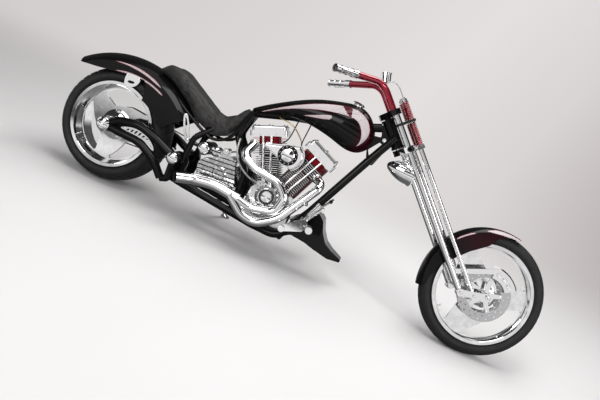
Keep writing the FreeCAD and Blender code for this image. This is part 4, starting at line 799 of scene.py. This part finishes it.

# ------------------------------------------------------------------ tank and fenders
# Pressed steel panels in deep black under clear lacquer. The tank carries a pale silver scallop that
# hooks down at the front, edged in maroon, and below it a painted reflection drawn the same way. The
# front fender has maroon sides and silver streaks that are painted highlights; the rear fender has a
# fine silver pinstripe and a wider streak that is partly pinstripe and partly painted highlight.
SILVER, MAROON, DEEP_MAROON = (0.55, 0.49, 0.50), (0.085, 0.002, 0.008), (0.020, 0.001, 0.003)
PAINT_EDGE, RIM_WIDTH = 0.0004, 0.0035


def scallop_and_painted_highlight(paint, distance, half, behind):
    """A silver band with a thin maroon edge where distance is under half. behind is the colour beneath.
    It draws the paint scallops and pinstripes, and the painted highlights and reflections too.
    """
    present = half.ramp(0.0006, 0.0020)
    inside = (distance - half).ramp(-PAINT_EDGE, PAINT_EDGE, 1.0, 0.0) * present
    rim = (distance - half - RIM_WIDTH).ramp(-PAINT_EDGE, PAINT_EDGE, 1.0, 0.0) * present
    return paint.mix(inside, paint.mix(rim, behind, MAROON), SILVER)


tank_paint = lacquered("tank_lacquer")
x, y, z = tank_paint.split(tank_paint.place(BIKE))
HOOK_X, HOOK_Z, HOOK_R = 1.222, 0.846, 0.098
straight = abs(z - (HOOK_Z + HOOK_R) + abs(HOOK_X - x) ** 1.64 * 0.68)
hook = abs(out_from(x - HOOK_X, z - HOOK_Z) - HOOK_R)
front = x > HOOK_X
band = straight * (1.0 - front) + hook * front
width = x.ramp(0.72, 1.20, 0.002, 0.023) * z.ramp(0.775, 0.900, 0.0, 1.0).most(1.0 - front)
ground_colour = tank_paint.mix(x.ramp(1.24, 1.34), BLACK, DEEP_MAROON)
colour = scallop_and_painted_highlight(tank_paint, band, width, ground_colour)
flash = abs(x - 1.185 + (z - 0.945) * 0.9) < (z - 0.905) * 0.55
colour = tank_paint.mix(flash * (z < 0.966) * (band < width), colour, (0.075, 0.002, 0.008))
# a pale spear on the flank below the scallop, pointed behind: a painted reflection of a softbox
REFLECTION_X, REFLECTION_Z, REFLECTION_SLOPE, REFLECTION_HALF = 1.10, 0.868, 0.36, 0.012
tank_reflection_streak = abs(z - REFLECTION_Z - (x - REFLECTION_X) * REFLECTION_SLOPE)
tank_reflection_half = x.ramp(0.95, REFLECTION_X, 0.0, REFLECTION_HALF) * x.ramp(REFLECTION_X + 0.012, REFLECTION_X + 0.024, 1.0, 0.0)
colour = scallop_and_painted_highlight(tank_paint, tank_reflection_streak, tank_reflection_half, colour)
sides = abs(y).ramp(0.045, 0.055)
tank_paint.set(base_color=tank_paint.mix(sides, BLACK, colour))


def fender_lacquer(name, lies, centre_x, centre_z):
    """A fender's lacquer, how far out it is from the fender's centre, and how far ahead of its top."""
    paint = lacquered(name)
    x, _, z = paint.split(paint.place(lies))
    reach = out_from(x - centre_x, z - centre_z)
    return paint, reach, (x - centre_x) / reach


front_paint, reach, ahead_of_top = fender_lacquer("front_fender_lacquer", STEERED, WHEELBASE, FRONT_RADIUS)
side_panel = reach.ramp(0.330, 0.344, 1.0, 0.0) * ahead_of_top.ramp(-0.90, -0.50)
below = front_paint.mix(side_panel, BLACK, (0.018, 0.0006, 0.003))
# both silver streaks with maroon edges along the front fender's crown are painted highlights
STREAK_REACH, STREAK_HALF, SHORT_REACH, SHORT_HALF = 0.349, 0.0095, 0.341, 0.0035
crown_highlight = ahead_of_top.band(-0.42, -0.20, 0.30, 0.42) * STREAK_HALF
colour = scallop_and_painted_highlight(front_paint, abs(reach - STREAK_REACH), crown_highlight, below)
short_crown_highlight = ahead_of_top.band(-0.80, -0.74, -0.60, -0.50) * SHORT_HALF
front_paint.set(base_color=scallop_and_painted_highlight(front_paint, abs(reach - SHORT_REACH), short_crown_highlight, colour))

rear_paint, reach, ahead_of_top = fender_lacquer("rear_fender_lacquer", BIKE, 0.019, 0.195)
UPPER_REACH, UPPER_HALF, LOWER_REACH, LOWER_HALF = 0.476, 0.0062, 0.436, 0.0042
# the upper silver streak along the shoulder is partly a pinstripe and partly a painted highlight; the lower
# thin line is a pinstripe
shoulder_highlight = abs(reach - UPPER_REACH + ahead_of_top * 0.012)
shoulder_highlight_half = ahead_of_top.band(-0.35, 0.10, 0.28, 0.42) * UPPER_HALF
lower = abs(reach - LOWER_REACH - ahead_of_top * 0.03)
lower_half = ahead_of_top.band(-0.30, -0.05, 0.40, 0.48) * LOWER_HALF
colour = scallop_and_painted_highlight(rear_paint, shoulder_highlight, shoulder_highlight_half, BLACK)
rear_paint.set(base_color=scallop_and_painted_highlight(rear_paint, lower, lower_half, colour))
dress(tank_paint, "fuel_tank")
dress(front_paint, "front_fender")
dress(rear_paint, "rear_fender")
dress(chrome, "fuel_cap")

# the fender's chrome stay and the slotted link to the rear stay, on each side
STAY = [(-0.012, 0.634), (-0.006, 0.572), (0.006, 0.560), (0.050, 0.566), (0.074, 0.590), (0.082, 0.634)]
STAY_SLOT = [(0.012, 0.580), (0.050, 0.586), (0.054, 0.600), (0.014, 0.596)]
LINK = [(0.368, 0.556), (0.386, 0.566), (0.402, 0.556), (0.462, 0.440), (0.450, 0.424), (0.428, 0.424)]
LINK_SLOT = [(0.384, 0.540), (0.396, 0.546), (0.444, 0.454), (0.434, 0.448)]
stay_screws = []
for s, outward, word in SIDES:
    stay = cut_sheet("fender_stay_" + word, [STAY, STAY_SLOT], 0.006, upright(s * 0.1415), chrome)
    settled(stay, "frame")
    link = cut_sheet("fender_link_" + word, [LINK, LINK_SLOT], 0.008, upright(s * 0.128), chrome)
    settled(link, "frame")
    stay_ends = [at(x, s * 0.1445, 0.622) for x in (0.000, 0.070)]
    stay_screws += [(place, outward, 0.006, 0.005) for place in stay_ends]
    link_ends = [at(x, s * 0.132, z) for x, z in ((0.384, 0.553), (0.446, 0.434))]
    stay_screws += [(place, outward, 0.007, 0.006) for place in link_ends]
screws("stay_screws", stay_screws, "frame")

# ------------------------------------------------------------------ seat
# Foam on a formed pan under matt black leather, swelling over the pan's edge. A stitched seam runs along
# each side and a lacquered rail carries the pan.
leather = Finish("leather", specular_ior_level=0.3)
cells = leather.add("TexVoronoi", {"feature": "DISTANCE_TO_EDGE"}, {"Vector": leather.place(),
                                                                    "Scale": 520.0})
creases = leather.noise(38, 4)
leather.set(base_color=leather.mix(creases.ramp(0.35, 0.7), (0.021, 0.020, 0.0195), (0.038, 0.036, 0.035)),
            roughness=creases.ramp(0.3, 0.7, 0.46, 0.60))
leather.bump(cells.ramp(0.0, 0.12) + creases * 0.6, 0.35, 0.0008)


def cushioned(name, source, finish, inset, voxel, pressure, cap):
    """A padded copy of a plain solid: drawn in, remeshed, then blown up as cloth with no gravity."""
    pad = linked(name, source.data.copy())
    remesh = pad.modifiers.new("remesh", "REMESH")
    remesh.mode, remesh.voxel_size = "VOXEL", voxel
    ease = pad.modifiers.new("ease", "SMOOTH")
    ease.factor, ease.iterations = 0.5, 14
    mesh = baked(pad)
    pad = linked(name, mesh)
    for vertex, normal in zip(mesh.vertices, [v.normal.copy() for v in mesh.vertices]):
        vertex.co -= normal * inset
    start = [v.co.copy() for v in mesh.vertices]
    cloth = pad.modifiers.new("cloth", "CLOTH")
    cloth.settings.use_pressure, cloth.settings.uniform_pressure_force = True, pressure
    cloth.settings.effector_weights.gravity = 0.0
    cloth.settings.quality = 5
    cloth.point_cache.frame_start, cloth.point_cache.frame_end = 1, 20
    for step in range(1, 21):
        bpy.context.scene.frame_set(step)
    blown = pad.evaluated_get(bpy.context.evaluated_depsgraph_get()).data
    moved = [v.co.copy() for v in blown.vertices]
    pad.modifiers.clear()
    bpy.context.scene.frame_set(1)
    for vertex, first, last in zip(mesh.vertices, start, moved):
        way = last - first
        vertex.co = first + way * min(1.0, cap / max(way.length, 1e-9))
    mesh.materials.clear()
    mesh.materials.append(finish.material)
    mesh.polygons.foreach_set("use_smooth", [True] * len(mesh.polygons))
    return pad


seat = cushioned("seat_cushion", node["seat"], leather, 0.0055, 0.005, 4.0, 0.010)

# the seams: a groove pressed along each side under the top edge, with a row of stitches above and below
SEAM = [(0.176, 0.742), (0.232, 0.738), (0.300, 0.706), (0.372, 0.668), (0.452, 0.618), (0.520, 0.585),
        (0.566, 0.583), (0.606, 0.602), (0.640, 0.640), (0.668, 0.684)]
GROOVE_WIDE, GROOVE_DEEP, STITCH_PITCH = 0.006, 0.0022, 0.0075
seam_lines = []
for s in (-1, 1):
    guide = solid_line("guide", [at(x, s * 0.103, z) for x, z in SEAM], 0.0, leather)
    seam_lines.append([v.co.copy() for v in guide.data.vertices])
    bpy.data.objects.remove(guide)
seam_tree = KDTree(sum(len(line) for line in seam_lines))
for index, point in enumerate(p for line in seam_lines for p in line):
    seam_tree.insert(point, index)
seam_tree.balance()
for vertex in seat.data.vertices:
    _, _, away = seam_tree.find(vertex.co)
    if away < 3 * GROOVE_WIDE:
        vertex.co -= vertex.normal * GROOVE_DEEP * math.exp(-(away / GROOVE_WIDE) ** 2)
seat.modifiers.new("fine", "SUBSURF").levels = 1
seat.modifiers["fine"].render_levels = 1
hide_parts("seat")
settled(seat, "frame")

thread = Finish("seat_thread", roughness=0.7)
thread.set(base_color=thread.mottled(900, (0.030, 0.029, 0.029), (0.055, 0.053, 0.052)))
stitch = Geometry("stitches", Pitch="Float", Long="Float", Thick="Float", Finish="Material")
line = stitch.add("GeometryNodeMeshToCurve", None, {"Mesh": stitch.given["Geometry"]})
dots = stitch.add("GeometryNodeResampleCurve", {"mode": "LENGTH"},
                  {"Curve": line[0], "Length": stitch.given["Pitch"]})
lay = stitch.add("GeometryNodeInputTangent")
turned_along = stitch.add("FunctionNodeAlignRotationToVector", {"axis": "Z"}, {"Vector": lay[0]})
bead = stitch.add("GeometryNodeMeshUVSphere", None, {"Segments": 6, "Rings": 5, "Radius": 1.0})
stretch = stitch.add("ShaderNodeCombineXYZ", None, {"X": stitch.given["Thick"], "Y": stitch.given["Thick"],
                                                    "Z": stitch.given["Long"]})
sewn = stitch.add("GeometryNodeInstanceOnPoints", None, {
    "Points": dots[0], "Instance": bead[0], "Rotation": turned_along[0], "Scale": stretch[0]})
stitch.end(stitch.add("GeometryNodeSetShadeSmooth", None, {"Geometry": sewn[0]})[0])
surface = BVHTree.FromObject(seat, bpy.context.evaluated_depsgraph_get())
rows_points, rows_edges = [], []
for line_points, outward in zip(seam_lines, (RIGHT, LEFT)):
    for lift in (-0.0055, 0.0055):
        first = len(rows_points)
        for point in line_points:
            found, normal, _, _ = surface.find_nearest(point + upward * lift)
            rows_points.append(found + normal * 0.0003)
        rows_edges += [(i, i + 1) for i in range(first, len(rows_points) - 1)]
rows = bpy.data.meshes.new("seam_rows")
rows.from_pydata(rows_points, rows_edges, [])
stitches = stitch.made("seat_stitches", rows, thread, Pitch=STITCH_PITCH, Long=0.0026, Thick=0.0007)
settled(stitches, "frame")

RAIL = [(0.252, 0.640), (0.330, 0.592), (0.400, 0.556), (0.490, 0.513), (0.556, 0.490), (0.620, 0.510),
        (0.662, 0.552), (0.684, 0.616), (0.706, 0.700), (0.716, 0.730)]
for s, _, word in SIDES:
    rail = [at(x, s * 0.094, z) for x, z in RAIL]
    settled(solid_line("seat_rail_" + word, rail, 0.009, lacquer, 5), "frame")

# ------------------------------------------------------------------ engine
# A V-twin with its cylinders 45 degrees apart. The finned barrels are coated black with their fin edges
# machined bright, the fins under the rocker boxes are candy red, and the cases are polished castings.
V_HALF, CRANK = math.radians(22.5), (0.991, 0.0, 0.276)
BARREL_TOP, RED_FOOT, HEAD_TOP, LID_TOP = 0.286, 0.352, 0.392, 0.450
BARREL_EDGE, HEAD_EDGE = Vector((0.0710, 0.0652)), Vector((0.0850, 0.0710))
FIN_BLACK, FIN_RED, FIN_BRIGHT = (0.010, 0.010, 0.011), (0.26, 0.004, 0.014), (0.80, 0.80, 0.80)
cylinder_frames = {}
for word, lean, barrel_tint in (("front", 1, 0.55), ("rear", -1, 0.0)):
    stand_on = BIKE @ Matrix.Translation(CRANK) @ Matrix.Rotation(lean * V_HALF, 4, "Y")
    cylinder_frames[word] = stand_on
    fins = Finish(word + "_cylinder_finish")
    x, y, z = fins.split(fins.place(stand_on))
    on_head = z > BARREL_TOP
    edge_x, edge_y = [on_head * (HEAD_EDGE[i] - BARREL_EDGE[i]) + BARREL_EDGE[i] for i in (0, 1)]
    machined = ((abs(y) > edge_y).most(abs(x) > edge_x)) * (fins.noise(30) * 0.8 + 0.2 > 0.30)
    red = (z > RED_FOOT) * (z < HEAD_TOP)
    tint = red.most((z < BARREL_TOP) * barrel_tint)
    bright = machined * (1.0 - red)
    fins.set(base_color=fins.mix(bright, fins.mix(tint, FIN_BLACK, FIN_RED), FIN_BRIGHT),
             metallic=bright.most(red * 0.7), roughness=(1.0 - bright) * 0.16 + 0.22 + fins.noise(160) * 0.08)
    fins.bump(fins.noise(700, 3), 0.2, 0.0004)
    dress(fins, word + "_cylinder")

CAST_DULL, CAST_BRIGHT, GROOVE_PAINTED_SHADE = (0.74, 0.74, 0.75), (0.86, 0.86, 0.86), (0.10, 0.10, 0.10)
casting = Finish("polished_casting", metallic=1.0)
cast = casting.noise(45, 4)
casting.set(base_color=casting.mix(cast.ramp(0.3, 0.7), (0.70, 0.70, 0.71), CAST_BRIGHT),
            roughness=cast.ramp(0.3, 0.7, 0.16, 0.28))
casting.bump(casting.noise(40, 2), 0.04, 0.0005)
dress(casting, "crankcase", "primary_cover")

# the gearbox shell is ribbed along its sides, with painted shade darkening the grooves
RIB_PITCH, RIB_SLOPE, GEARBOX_SIDE = 0.024, 0.12, 0.078
gearbox_finish = Finish("ribbed_casting", metallic=1.0)
x, y, z = gearbox_finish.split(gearbox_finish.place(BIKE))
groove_and_painted_shade = ((z - x * RIB_SLOPE) * (2 * math.pi / RIB_PITCH)).wave().ramp(0.45, 0.85) * (abs(y) > GEARBOX_SIDE)
alloy_grain = gearbox_finish.noise(45, 4).ramp(0.3, 0.7)
shell_colour = gearbox_finish.mix(alloy_grain, CAST_DULL, CAST_BRIGHT)
gearbox_finish.set(base_color=gearbox_finish.mix(groove_and_painted_shade, shell_colour, GROOVE_PAINTED_SHADE),
                   roughness=alloy_grain * 0.08 + 0.10)
gearbox_finish.bump(groove_and_painted_shade, 0.5, -0.002)
dress(gearbox_finish, "transmission")

# the cam cover's face has a dark ring let into it
COVER_X, COVER_Z, COVER_FACE = 0.976, 0.334, -0.124
cover_finish = Finish("cam_cover_finish")
x, y, z = cover_finish.split(cover_finish.place(BIKE))
off_centre = out_from(x - COVER_X, z - COVER_Z)
channel = (off_centre > 0.0345) * (off_centre < 0.0435) * (y < COVER_FACE + 0.0045)
cover_finish.set(base_color=cover_finish.mix(channel, (0.86, 0.86, 0.87), (0.02, 0.02, 0.021)),
                 metallic=1.0 - channel,
                 roughness=cover_finish.noise(60, 3).ramp(0.3, 0.8, 0.04, 0.09) + channel * 0.3)
dress(cover_finish, "cam_cover")

ROUND_COVERS = (
    # centre ahead, face, centre up, circle radius, first, screw radius, screw height
    (COVER_X, COVER_FACE, COVER_Z, 0.054, 0.5, 0.0042, 0.0040),
    (0.676, -0.0975, 0.336, 0.030, 0.5, 0.0040, 0.0045),
    (0.738, 0.213, 0.336, 0.048, 0.0, 0.0040, 0.0040),
    (0.974, 0.213, 0.300, 0.030, 0.0, 0.0035, 0.0040),
)
COVER_RIMS = (
    # face, screw radius, screw height, places round the rim
    (-0.104, 0.0055, 0.005, ((0.893, 0.300), (0.906, 0.262), (0.944, 0.246), (1.030, 0.245), (1.062, 0.272),
                             (1.072, 0.330), (1.070, 0.382), (0.912, 0.390), (0.990, 0.393))),
    (0.204, 0.0050, 0.005, ((0.690, 0.345), (0.706, 0.300), (0.760, 0.258), (0.850, 0.244), (0.930, 0.234),
                            (1.010, 0.226), (1.070, 0.256), (1.080, 0.330), (1.020, 0.382), (0.930, 0.388),
                            (0.830, 0.394), (0.740, 0.400))),
    (-0.084, 0.0050, 0.005, ((0.566, 0.290), (0.578, 0.360), (0.610, 0.258), (0.720, 0.262), (0.756, 0.290),
                             (0.744, 0.370), (0.716, 0.424))),
)
engine_screws = []
for stand_on in cylinder_frames.values():
    up_the_bore = (stand_on.to_3x3() @ Vector((0, 0, 1))).normalized()
    lid = [(x, y, LID_TOP) for x in (-0.082, 0.0, 0.082) for y in (-0.052, 0.052)]
    engine_screws += [(stand_on @ Vector(place), up_the_bore, 0.0065, 0.006) for place in lid]
    joint = [(x, -0.074, 0.404) for x in (-0.088, -0.044, 0.0, 0.044, 0.088)]
    engine_screws += [(stand_on @ Vector(place), RIGHT, 0.0045, 0.004) for place in joint]
for x, face, z, circle, first, radius, height in ROUND_COVERS:
    outward = LEFT if face > 0 else RIGHT
    engine_screws += [(place, outward, radius, height) for place in bolt_circle(x, face, z, circle, 6, first)]
for face, radius, height, rim in COVER_RIMS:
    outward = LEFT if face > 0 else RIGHT
    engine_screws += [(at(x, face, z), outward, radius, height) for x, z in rim]
screws("engine_screws", engine_screws, "frame")

# ------------------------------------------------------------------ leads and lines
# Rubber plug leads run from under the tank down into the V to a cap on each head. A gilt braided fuel
# line bends down behind the air cleaner, and a steel one takes oil from the tank to the pump.
lead_rubber = Finish("lead_rubber", specular_ior_level=0.4)
lead_rubber.set(base_color=lead_rubber.mottled(60, (0.012, 0.012, 0.012), (0.022, 0.021, 0.021)),
                roughness=lead_rubber.noise(200).ramp(0.3, 0.7, 0.35, 0.5))
brass = Finish("gilt_braid", metallic=1.0, roughness=0.3)
brass.set(base_color=brass.mottled(900, (0.50, 0.36, 0.14), (0.72, 0.55, 0.26)))
FUEL_ROUTE = [(0.846, -0.040, 0.775), (0.853, -0.058, 0.752), (0.896, -0.074, 0.757), (0.943, -0.080, 0.750),
              (0.988, -0.078, 0.720), (1.030, -0.074, 0.680), (1.036, -0.070, 0.630), (1.012, -0.066, 0.600)]
OIL_ROUTE = [(0.706, -0.080, 0.560), (0.712, -0.104, 0.540), (0.722, -0.118, 0.500), (0.749, -0.124, 0.452),
             (0.791, -0.126, 0.417), (0.841, -0.122, 0.391), (0.872, -0.112, 0.384), (0.892, -0.100, 0.382)]
settled(solid_line("fuel_line", [at(*place) for place in FUEL_ROUTE], 0.0035, brass), "frame")
settled(solid_line("oil_line", [at(*place) for place in OIL_ROUTE], 0.0055, braid), "frame")
PLUG_CAP = [(0, 0), (0, 0.009), (0.012, 0.009), (0.014, 0.007), (0.030, 0.006), (0.030, 0)]
for word, plug_ahead, lead_x in (("front", -0.058, 1.026), ("rear", 0.058, 0.955)):
    plug = cylinder_frames[word] @ Vector((plug_ahead, -0.072, 0.330))
    out = plug + RIGHT * 0.028
    down = [out - RIGHT * 0.010, out + RIGHT * 0.004, out + RIGHT * 0.006 + upward * 0.020]
    down += [at(lead_x, y, z) for y, z in ((-0.085, 0.665), (-0.050, 0.745), (-0.030, 0.792))]
    settled(turned(word + "_plug_cap", PLUG_CAP, plug, RIGHT, lead_rubber, 24), "frame")
    settled(solid_line(word + "_plug_lead", down, 0.0035, lead_rubber), "frame")

# ------------------------------------------------------------------ air cleaner
# A pressed teardrop cover, plated. Its round badge seat is left plain: a black enamel ring with small
# studs round a bright spun dome.
AIR_X, AIR_Z, AIR_FACE = 1.000, 0.598, -0.200
BADGE_RING = [(-0.001, 0.036), (-0.001, 0.0545), (0.0015, 0.0545), (0.0025, 0.0525), (0.0025, 0.038),
              (0.0015, 0.036)]
BADGE_DOME = [(-0.001, 0), (-0.001, 0.0365), (0.0035, 0.0365), (0.0045, 0.035), (0.0035, 0.0325),
              (0.0045, 0.027), (0.0075, 0.016), (0.0085, 0.006), (0.0087, 0)]
enamel = lacquered("badge_enamel")
enamel.set(base_color=enamel.mottled(40, (0.004, 0.004, 0.004), (0.008, 0.008, 0.008)),
           coat_weight=0.5)
air_face = at(AIR_X, AIR_FACE, AIR_Z)
settled(turned("badge_ring", BADGE_RING, air_face, RIGHT, enamel), "frame")
settled(turned("badge_dome", BADGE_DOME, air_face, RIGHT, chrome), "frame")
studs = bolt_circle(AIR_X, AIR_FACE - 0.0025, AIR_Z, 0.0455, 12)
screws("badge_studs", [(stud, RIGHT, 0.0024, 0.0018) for stud in studs], "frame")

# ------------------------------------------------------------------ oil tank and solenoid
# The round oil tank is lacquered with plated ends. The starter's solenoid is a plated can with a boss.
dress(lacquer, "oil_tank")
END_CAP = [(0, 0), (0, 0.034), (0.004, 0.034), (0.008, 0.029), (0.012, 0.018), (0.013, 0)]
SOLENOID = [(-0.060, 0), (-0.060, 0.019), (0, 0.019), (0.003, 0.017), (0.003, 0.007), (0.010, 0.006),
            (0.010, 0)]
for s, outward, word in SIDES:
    tank_end = at(0.538, s * 0.094, 0.424)
    settled(turned("oil_tank_end_" + word, END_CAP, tank_end, outward, chrome), "frame")
settled(turned("solenoid", SOLENOID, at(0.664, -0.088, 0.462), RIGHT, chrome, 40), "frame")

# ------------------------------------------------------------------ exhausts
# Bent steel tube, chromed. Rolled beads mark the joints, and the bore is black with soot.
OUTLET_TIP, OUTLET_IN = Vector((0.506, -0.276, 0.246)), Vector((0.590, -0.204, 0.266))
OUTLET_BORE, OUTLET_DEPTH, LIP = 0.0284, 0.0815, 0.0012
exhaust = Finish("exhaust_chrome")
position = exhaust.split(exhaust.place(BIKE))
outlet_way = (OUTLET_TIP - OUTLET_IN).normalized()
offset = [place - OUTLET_TIP[i] for i, place in enumerate(position)]
out_along = offset[0] * outlet_way.x + offset[1] * outlet_way.y + offset[2] * outlet_way.z
from_tip = (offset[0] ** 2.0 + offset[1] ** 2.0 + offset[2] ** 2.0) ** 0.5
off_axis = (from_tip * from_tip - out_along * out_along).most(0.0) ** 0.5
soot = (off_axis < OUTLET_BORE) * (out_along > -OUTLET_DEPTH) * (out_along < -LIP)
plate = exhaust.mottled(9, PLATE_DULL, PLATE_BRIGHT)
exhaust.set(base_color=exhaust.mix(soot, plate, (0.010, 0.009, 0.009)), metallic=1.0 - soot,
            roughness=exhaust.noise(60, 3).ramp(0.3, 0.8, 0.03, 0.08) + soot * 0.75)
dress(exhaust, "rear_exhaust", "front_exhaust")
BEAD_RING = [(-0.004, 0.0235), (-0.004, 0.0262), (-0.002, 0.0278), (0.002, 0.0278), (0.004, 0.0262),
             (0.004, 0.0235)]
CLAMPS = (
    # name, place, which way the pipe runs there
    ("rear_port", (0.787, -0.0740, 0.568), (0.0, -0.78, -0.60)),
    ("front_port", (1.186, -0.0780, 0.539), (0.62, -0.78, -0.10)),
    ("front_joint", (1.180, -0.1597, 0.407), (0.46, -0.17, 0.87)),
)
for word, place, way in CLAMPS:
    run = (BIKE.to_3x3() @ Vector(way)).normalized()
    settled(turned(word + "_clamp", BEAD_RING, at(*place), run, chrome, 48), "frame")

# ------------------------------------------------------------------ wheel discs, brake and final drive
# Forged aluminium wheels, polished. The brake disc is ground steel on a plated carrier, and the rear
# wheel is driven by a toothed rubber belt.
forged = Finish("polished_forging", metallic=1.0)
swirl = forged.noise(26, 4)
forged.set(base_color=forged.mix(swirl.ramp(0.35, 0.7), (0.76, 0.76, 0.77), (0.90, 0.90, 0.90)),
           roughness=swirl.ramp(0.3, 0.75, 0.04, 0.10))
forged.bump(forged.noise(14, 2), 0.05, 0.002)
dress(forged, "rear_rim", "front_rim", "rear_pulley")

CARRIER_RADIUS, GRINDING = 0.098, 5200.0
ground_steel = Finish("ground_steel", metallic=1.0)
x, y, z = ground_steel.split(ground_steel.place(STEERED))
reach = out_from(x - WHEELBASE, z - FRONT_RADIUS)
track = reach > CARRIER_RADIUS
rings = (reach * GRINDING).wave().ramp(-1, 1)
ground = ground_steel.mix(rings, (0.50, 0.50, 0.51), (0.66, 0.66, 0.67))
ground_steel.set(base_color=ground_steel.mix(track, (0.86, 0.86, 0.87), ground),
                 roughness=track * 0.18 + 0.06)
dress(ground_steel, "front_disc")

BELT_PITCH = 0.011
belt_rubber = Finish("belt_rubber", specular_ior_level=0.3)
x, y, z = belt_rubber.split(belt_rubber.place(BIKE))
belt_rubber.set(base_color=belt_rubber.mottled(90, (0.012, 0.012, 0.012), (0.022, 0.022, 0.022)),
                roughness=belt_rubber.noise(50).ramp(0.3, 0.7, 0.55, 0.75))
belt_rubber.bump((x * 2 * math.pi / BELT_PITCH).wave(), 0.6, 0.002)
dress(belt_rubber, "drive_belt")

rear_place, rear_axle, *_ = WHEELS["rear"]
front_place, front_axle, *_ = WHEELS["front"]
rear_lay, front_lay = wheel_axes(rear_place, rear_axle), wheel_axes(front_place, front_axle)
rear_screws, front_screws = [], []
for step in range(5):
    angle = 2 * math.pi * (step + 0.5) / 5
    spoke = Vector((math.cos(angle), 0, math.sin(angle)))
    rear_screws.append((rear_lay @ (spoke * 0.036 + Vector((0, -0.123, 0))), -rear_axle, 0.006, 0.006))
    rear_screws.append((rear_lay @ (spoke * 0.050 + Vector((0, 0.150, 0))), rear_axle, 0.007, 0.007))
    front_screws.append((front_lay @ (spoke * 0.030 + Vector((0, -0.067, 0))), -front_axle, 0.0045, 0.004))
    arm = 2 * math.pi * step / 5
    carrier_arm = STEERED.to_3x3() @ Vector((math.sin(arm), 0, math.cos(arm)))
    front_screws.append((front_place + carrier_arm * 0.092 - front_axle * 0.067, -front_axle, 0.0065, 0.0035))
screws("rear_wheel_screws", rear_screws, "rear_wheel")
screws("front_wheel_screws", front_screws, "front_wheel")

VALVE = [(0, 0), (0, 0.0045), (0.010, 0.0045), (0.012, 0.0036), (0.026, 0.0036), (0.030, 0.0028), (0.030, 0)]
VALVE_ANGLE = 0.9
for word, lay, side, reach in (("rear", rear_lay, -0.085, 0.2222), ("front", front_lay, -0.022, 0.2602)):
    inward = Vector((math.sin(VALVE_ANGLE), 0, math.cos(VALVE_ANGLE)))
    valve_foot = lay @ (Vector((0, side, 0)) - inward * reach)
    valve = turned(word + "_valve", VALVE, valve_foot, lay.to_3x3() @ inward, chrome, 16)
    settled(valve, word + "_wheel")

# ------------------------------------------------------------------ caliper and fork screws
# Black lacquered plugs close the caliper's three bores. Screws with bright heads hold the rockers, the
# axle and the legs' clamps.
CALIPER_PLUG = [(-0.0005, 0), (-0.0005, 0.0105), (0.0025, 0.0105), (0.0025, 0.0085), (0.0008, 0.0075),
                (0.0008, 0)]
BORE_REACH, CALIPER_FACE = 0.135, -0.095
fork_right = -(STEERED.to_3x3() @ Vector((0, 1, 0)))
for degrees in (46, 64, 82):
    angle = math.radians(degrees)
    bore = STEERED @ Vector((WHEELBASE + BORE_REACH * math.cos(angle), CALIPER_FACE,
                             FRONT_RADIUS + BORE_REACH * math.sin(angle)))
    plug = turned("caliper_plug_%d" % degrees, CALIPER_PLUG, bore, fork_right, tree_finish, 32)
    settled(plug, "steering")
SIDE_SCREWS = (
    # up, ahead, to the side, screw radius
    (0.404, 0.036, 0.1450, 0.0065), (0.360, 0.097, 0.1450, 0.0065),
    (0.610, 0.036, 0.1235, 0.0060), (0.655, 0.036, 0.1235, 0.0060),
)
steering_screws = []
for s in (-1, 1):
    facing_out = -fork_right * s
    steering_screws += [(STEERED @ fork(up, ahead, s * side), facing_out, radius, 0.004)
                        for up, ahead, side, radius in SIDE_SCREWS]
    steering_screws.append((STEERED @ Vector((WHEELBASE, s * 0.151, FRONT_RADIUS)), facing_out, 0.009, 0.005))
    steering_screws += [(STEERED @ fork(PERCH_HIGH, ahead, s * side), steer_up, 0.006, 0.005)
                        for ahead, side in ((LEG_AHEAD, 0.120), (SPRING_AHEAD, 0.066))]
screws("steering_screws", steering_screws, "steering")

# ------------------------------------------------------------------ forward controls
# Plated pegs and pedals on a bar across the frame, with rubber sleeves between the pegs' collars.
PEG_ROOT, PEG_TIP = Vector((1.262, 0.226, 0.300)), Vector((1.276, 0.336, 0.306))
PEG_SLEEVES = ((0.262, 0.443), (0.512, 0.693), (0.762, 0.923))
SLEEVE_BORE, SLEEVE_EDGE, SLEEVE_RADIUS, ROUNDED = 0.0155, 0.0170, 0.0178, 0.0012
peg_long = (PEG_TIP - PEG_ROOT).length
for s, _, word in SIDES:
    root = at(PEG_ROOT.x, s * PEG_ROOT.y, PEG_ROOT.z)
    out = (at(PEG_TIP.x, s * PEG_TIP.y, PEG_TIP.z) - root).normalized()
    for number, (low, high) in enumerate(PEG_SLEEVES):
        long = (high - low) * peg_long
        sleeve = [(0, SLEEVE_BORE), (0, SLEEVE_EDGE), (ROUNDED, SLEEVE_RADIUS),
                  (long - ROUNDED, SLEEVE_RADIUS), (long, SLEEVE_EDGE), (long, SLEEVE_BORE)]
        name = "peg_sleeve_%s_%d" % (word, number)
        settled(turned(name, sleeve, root + out * low * peg_long, out, lead_rubber, 32), "frame")
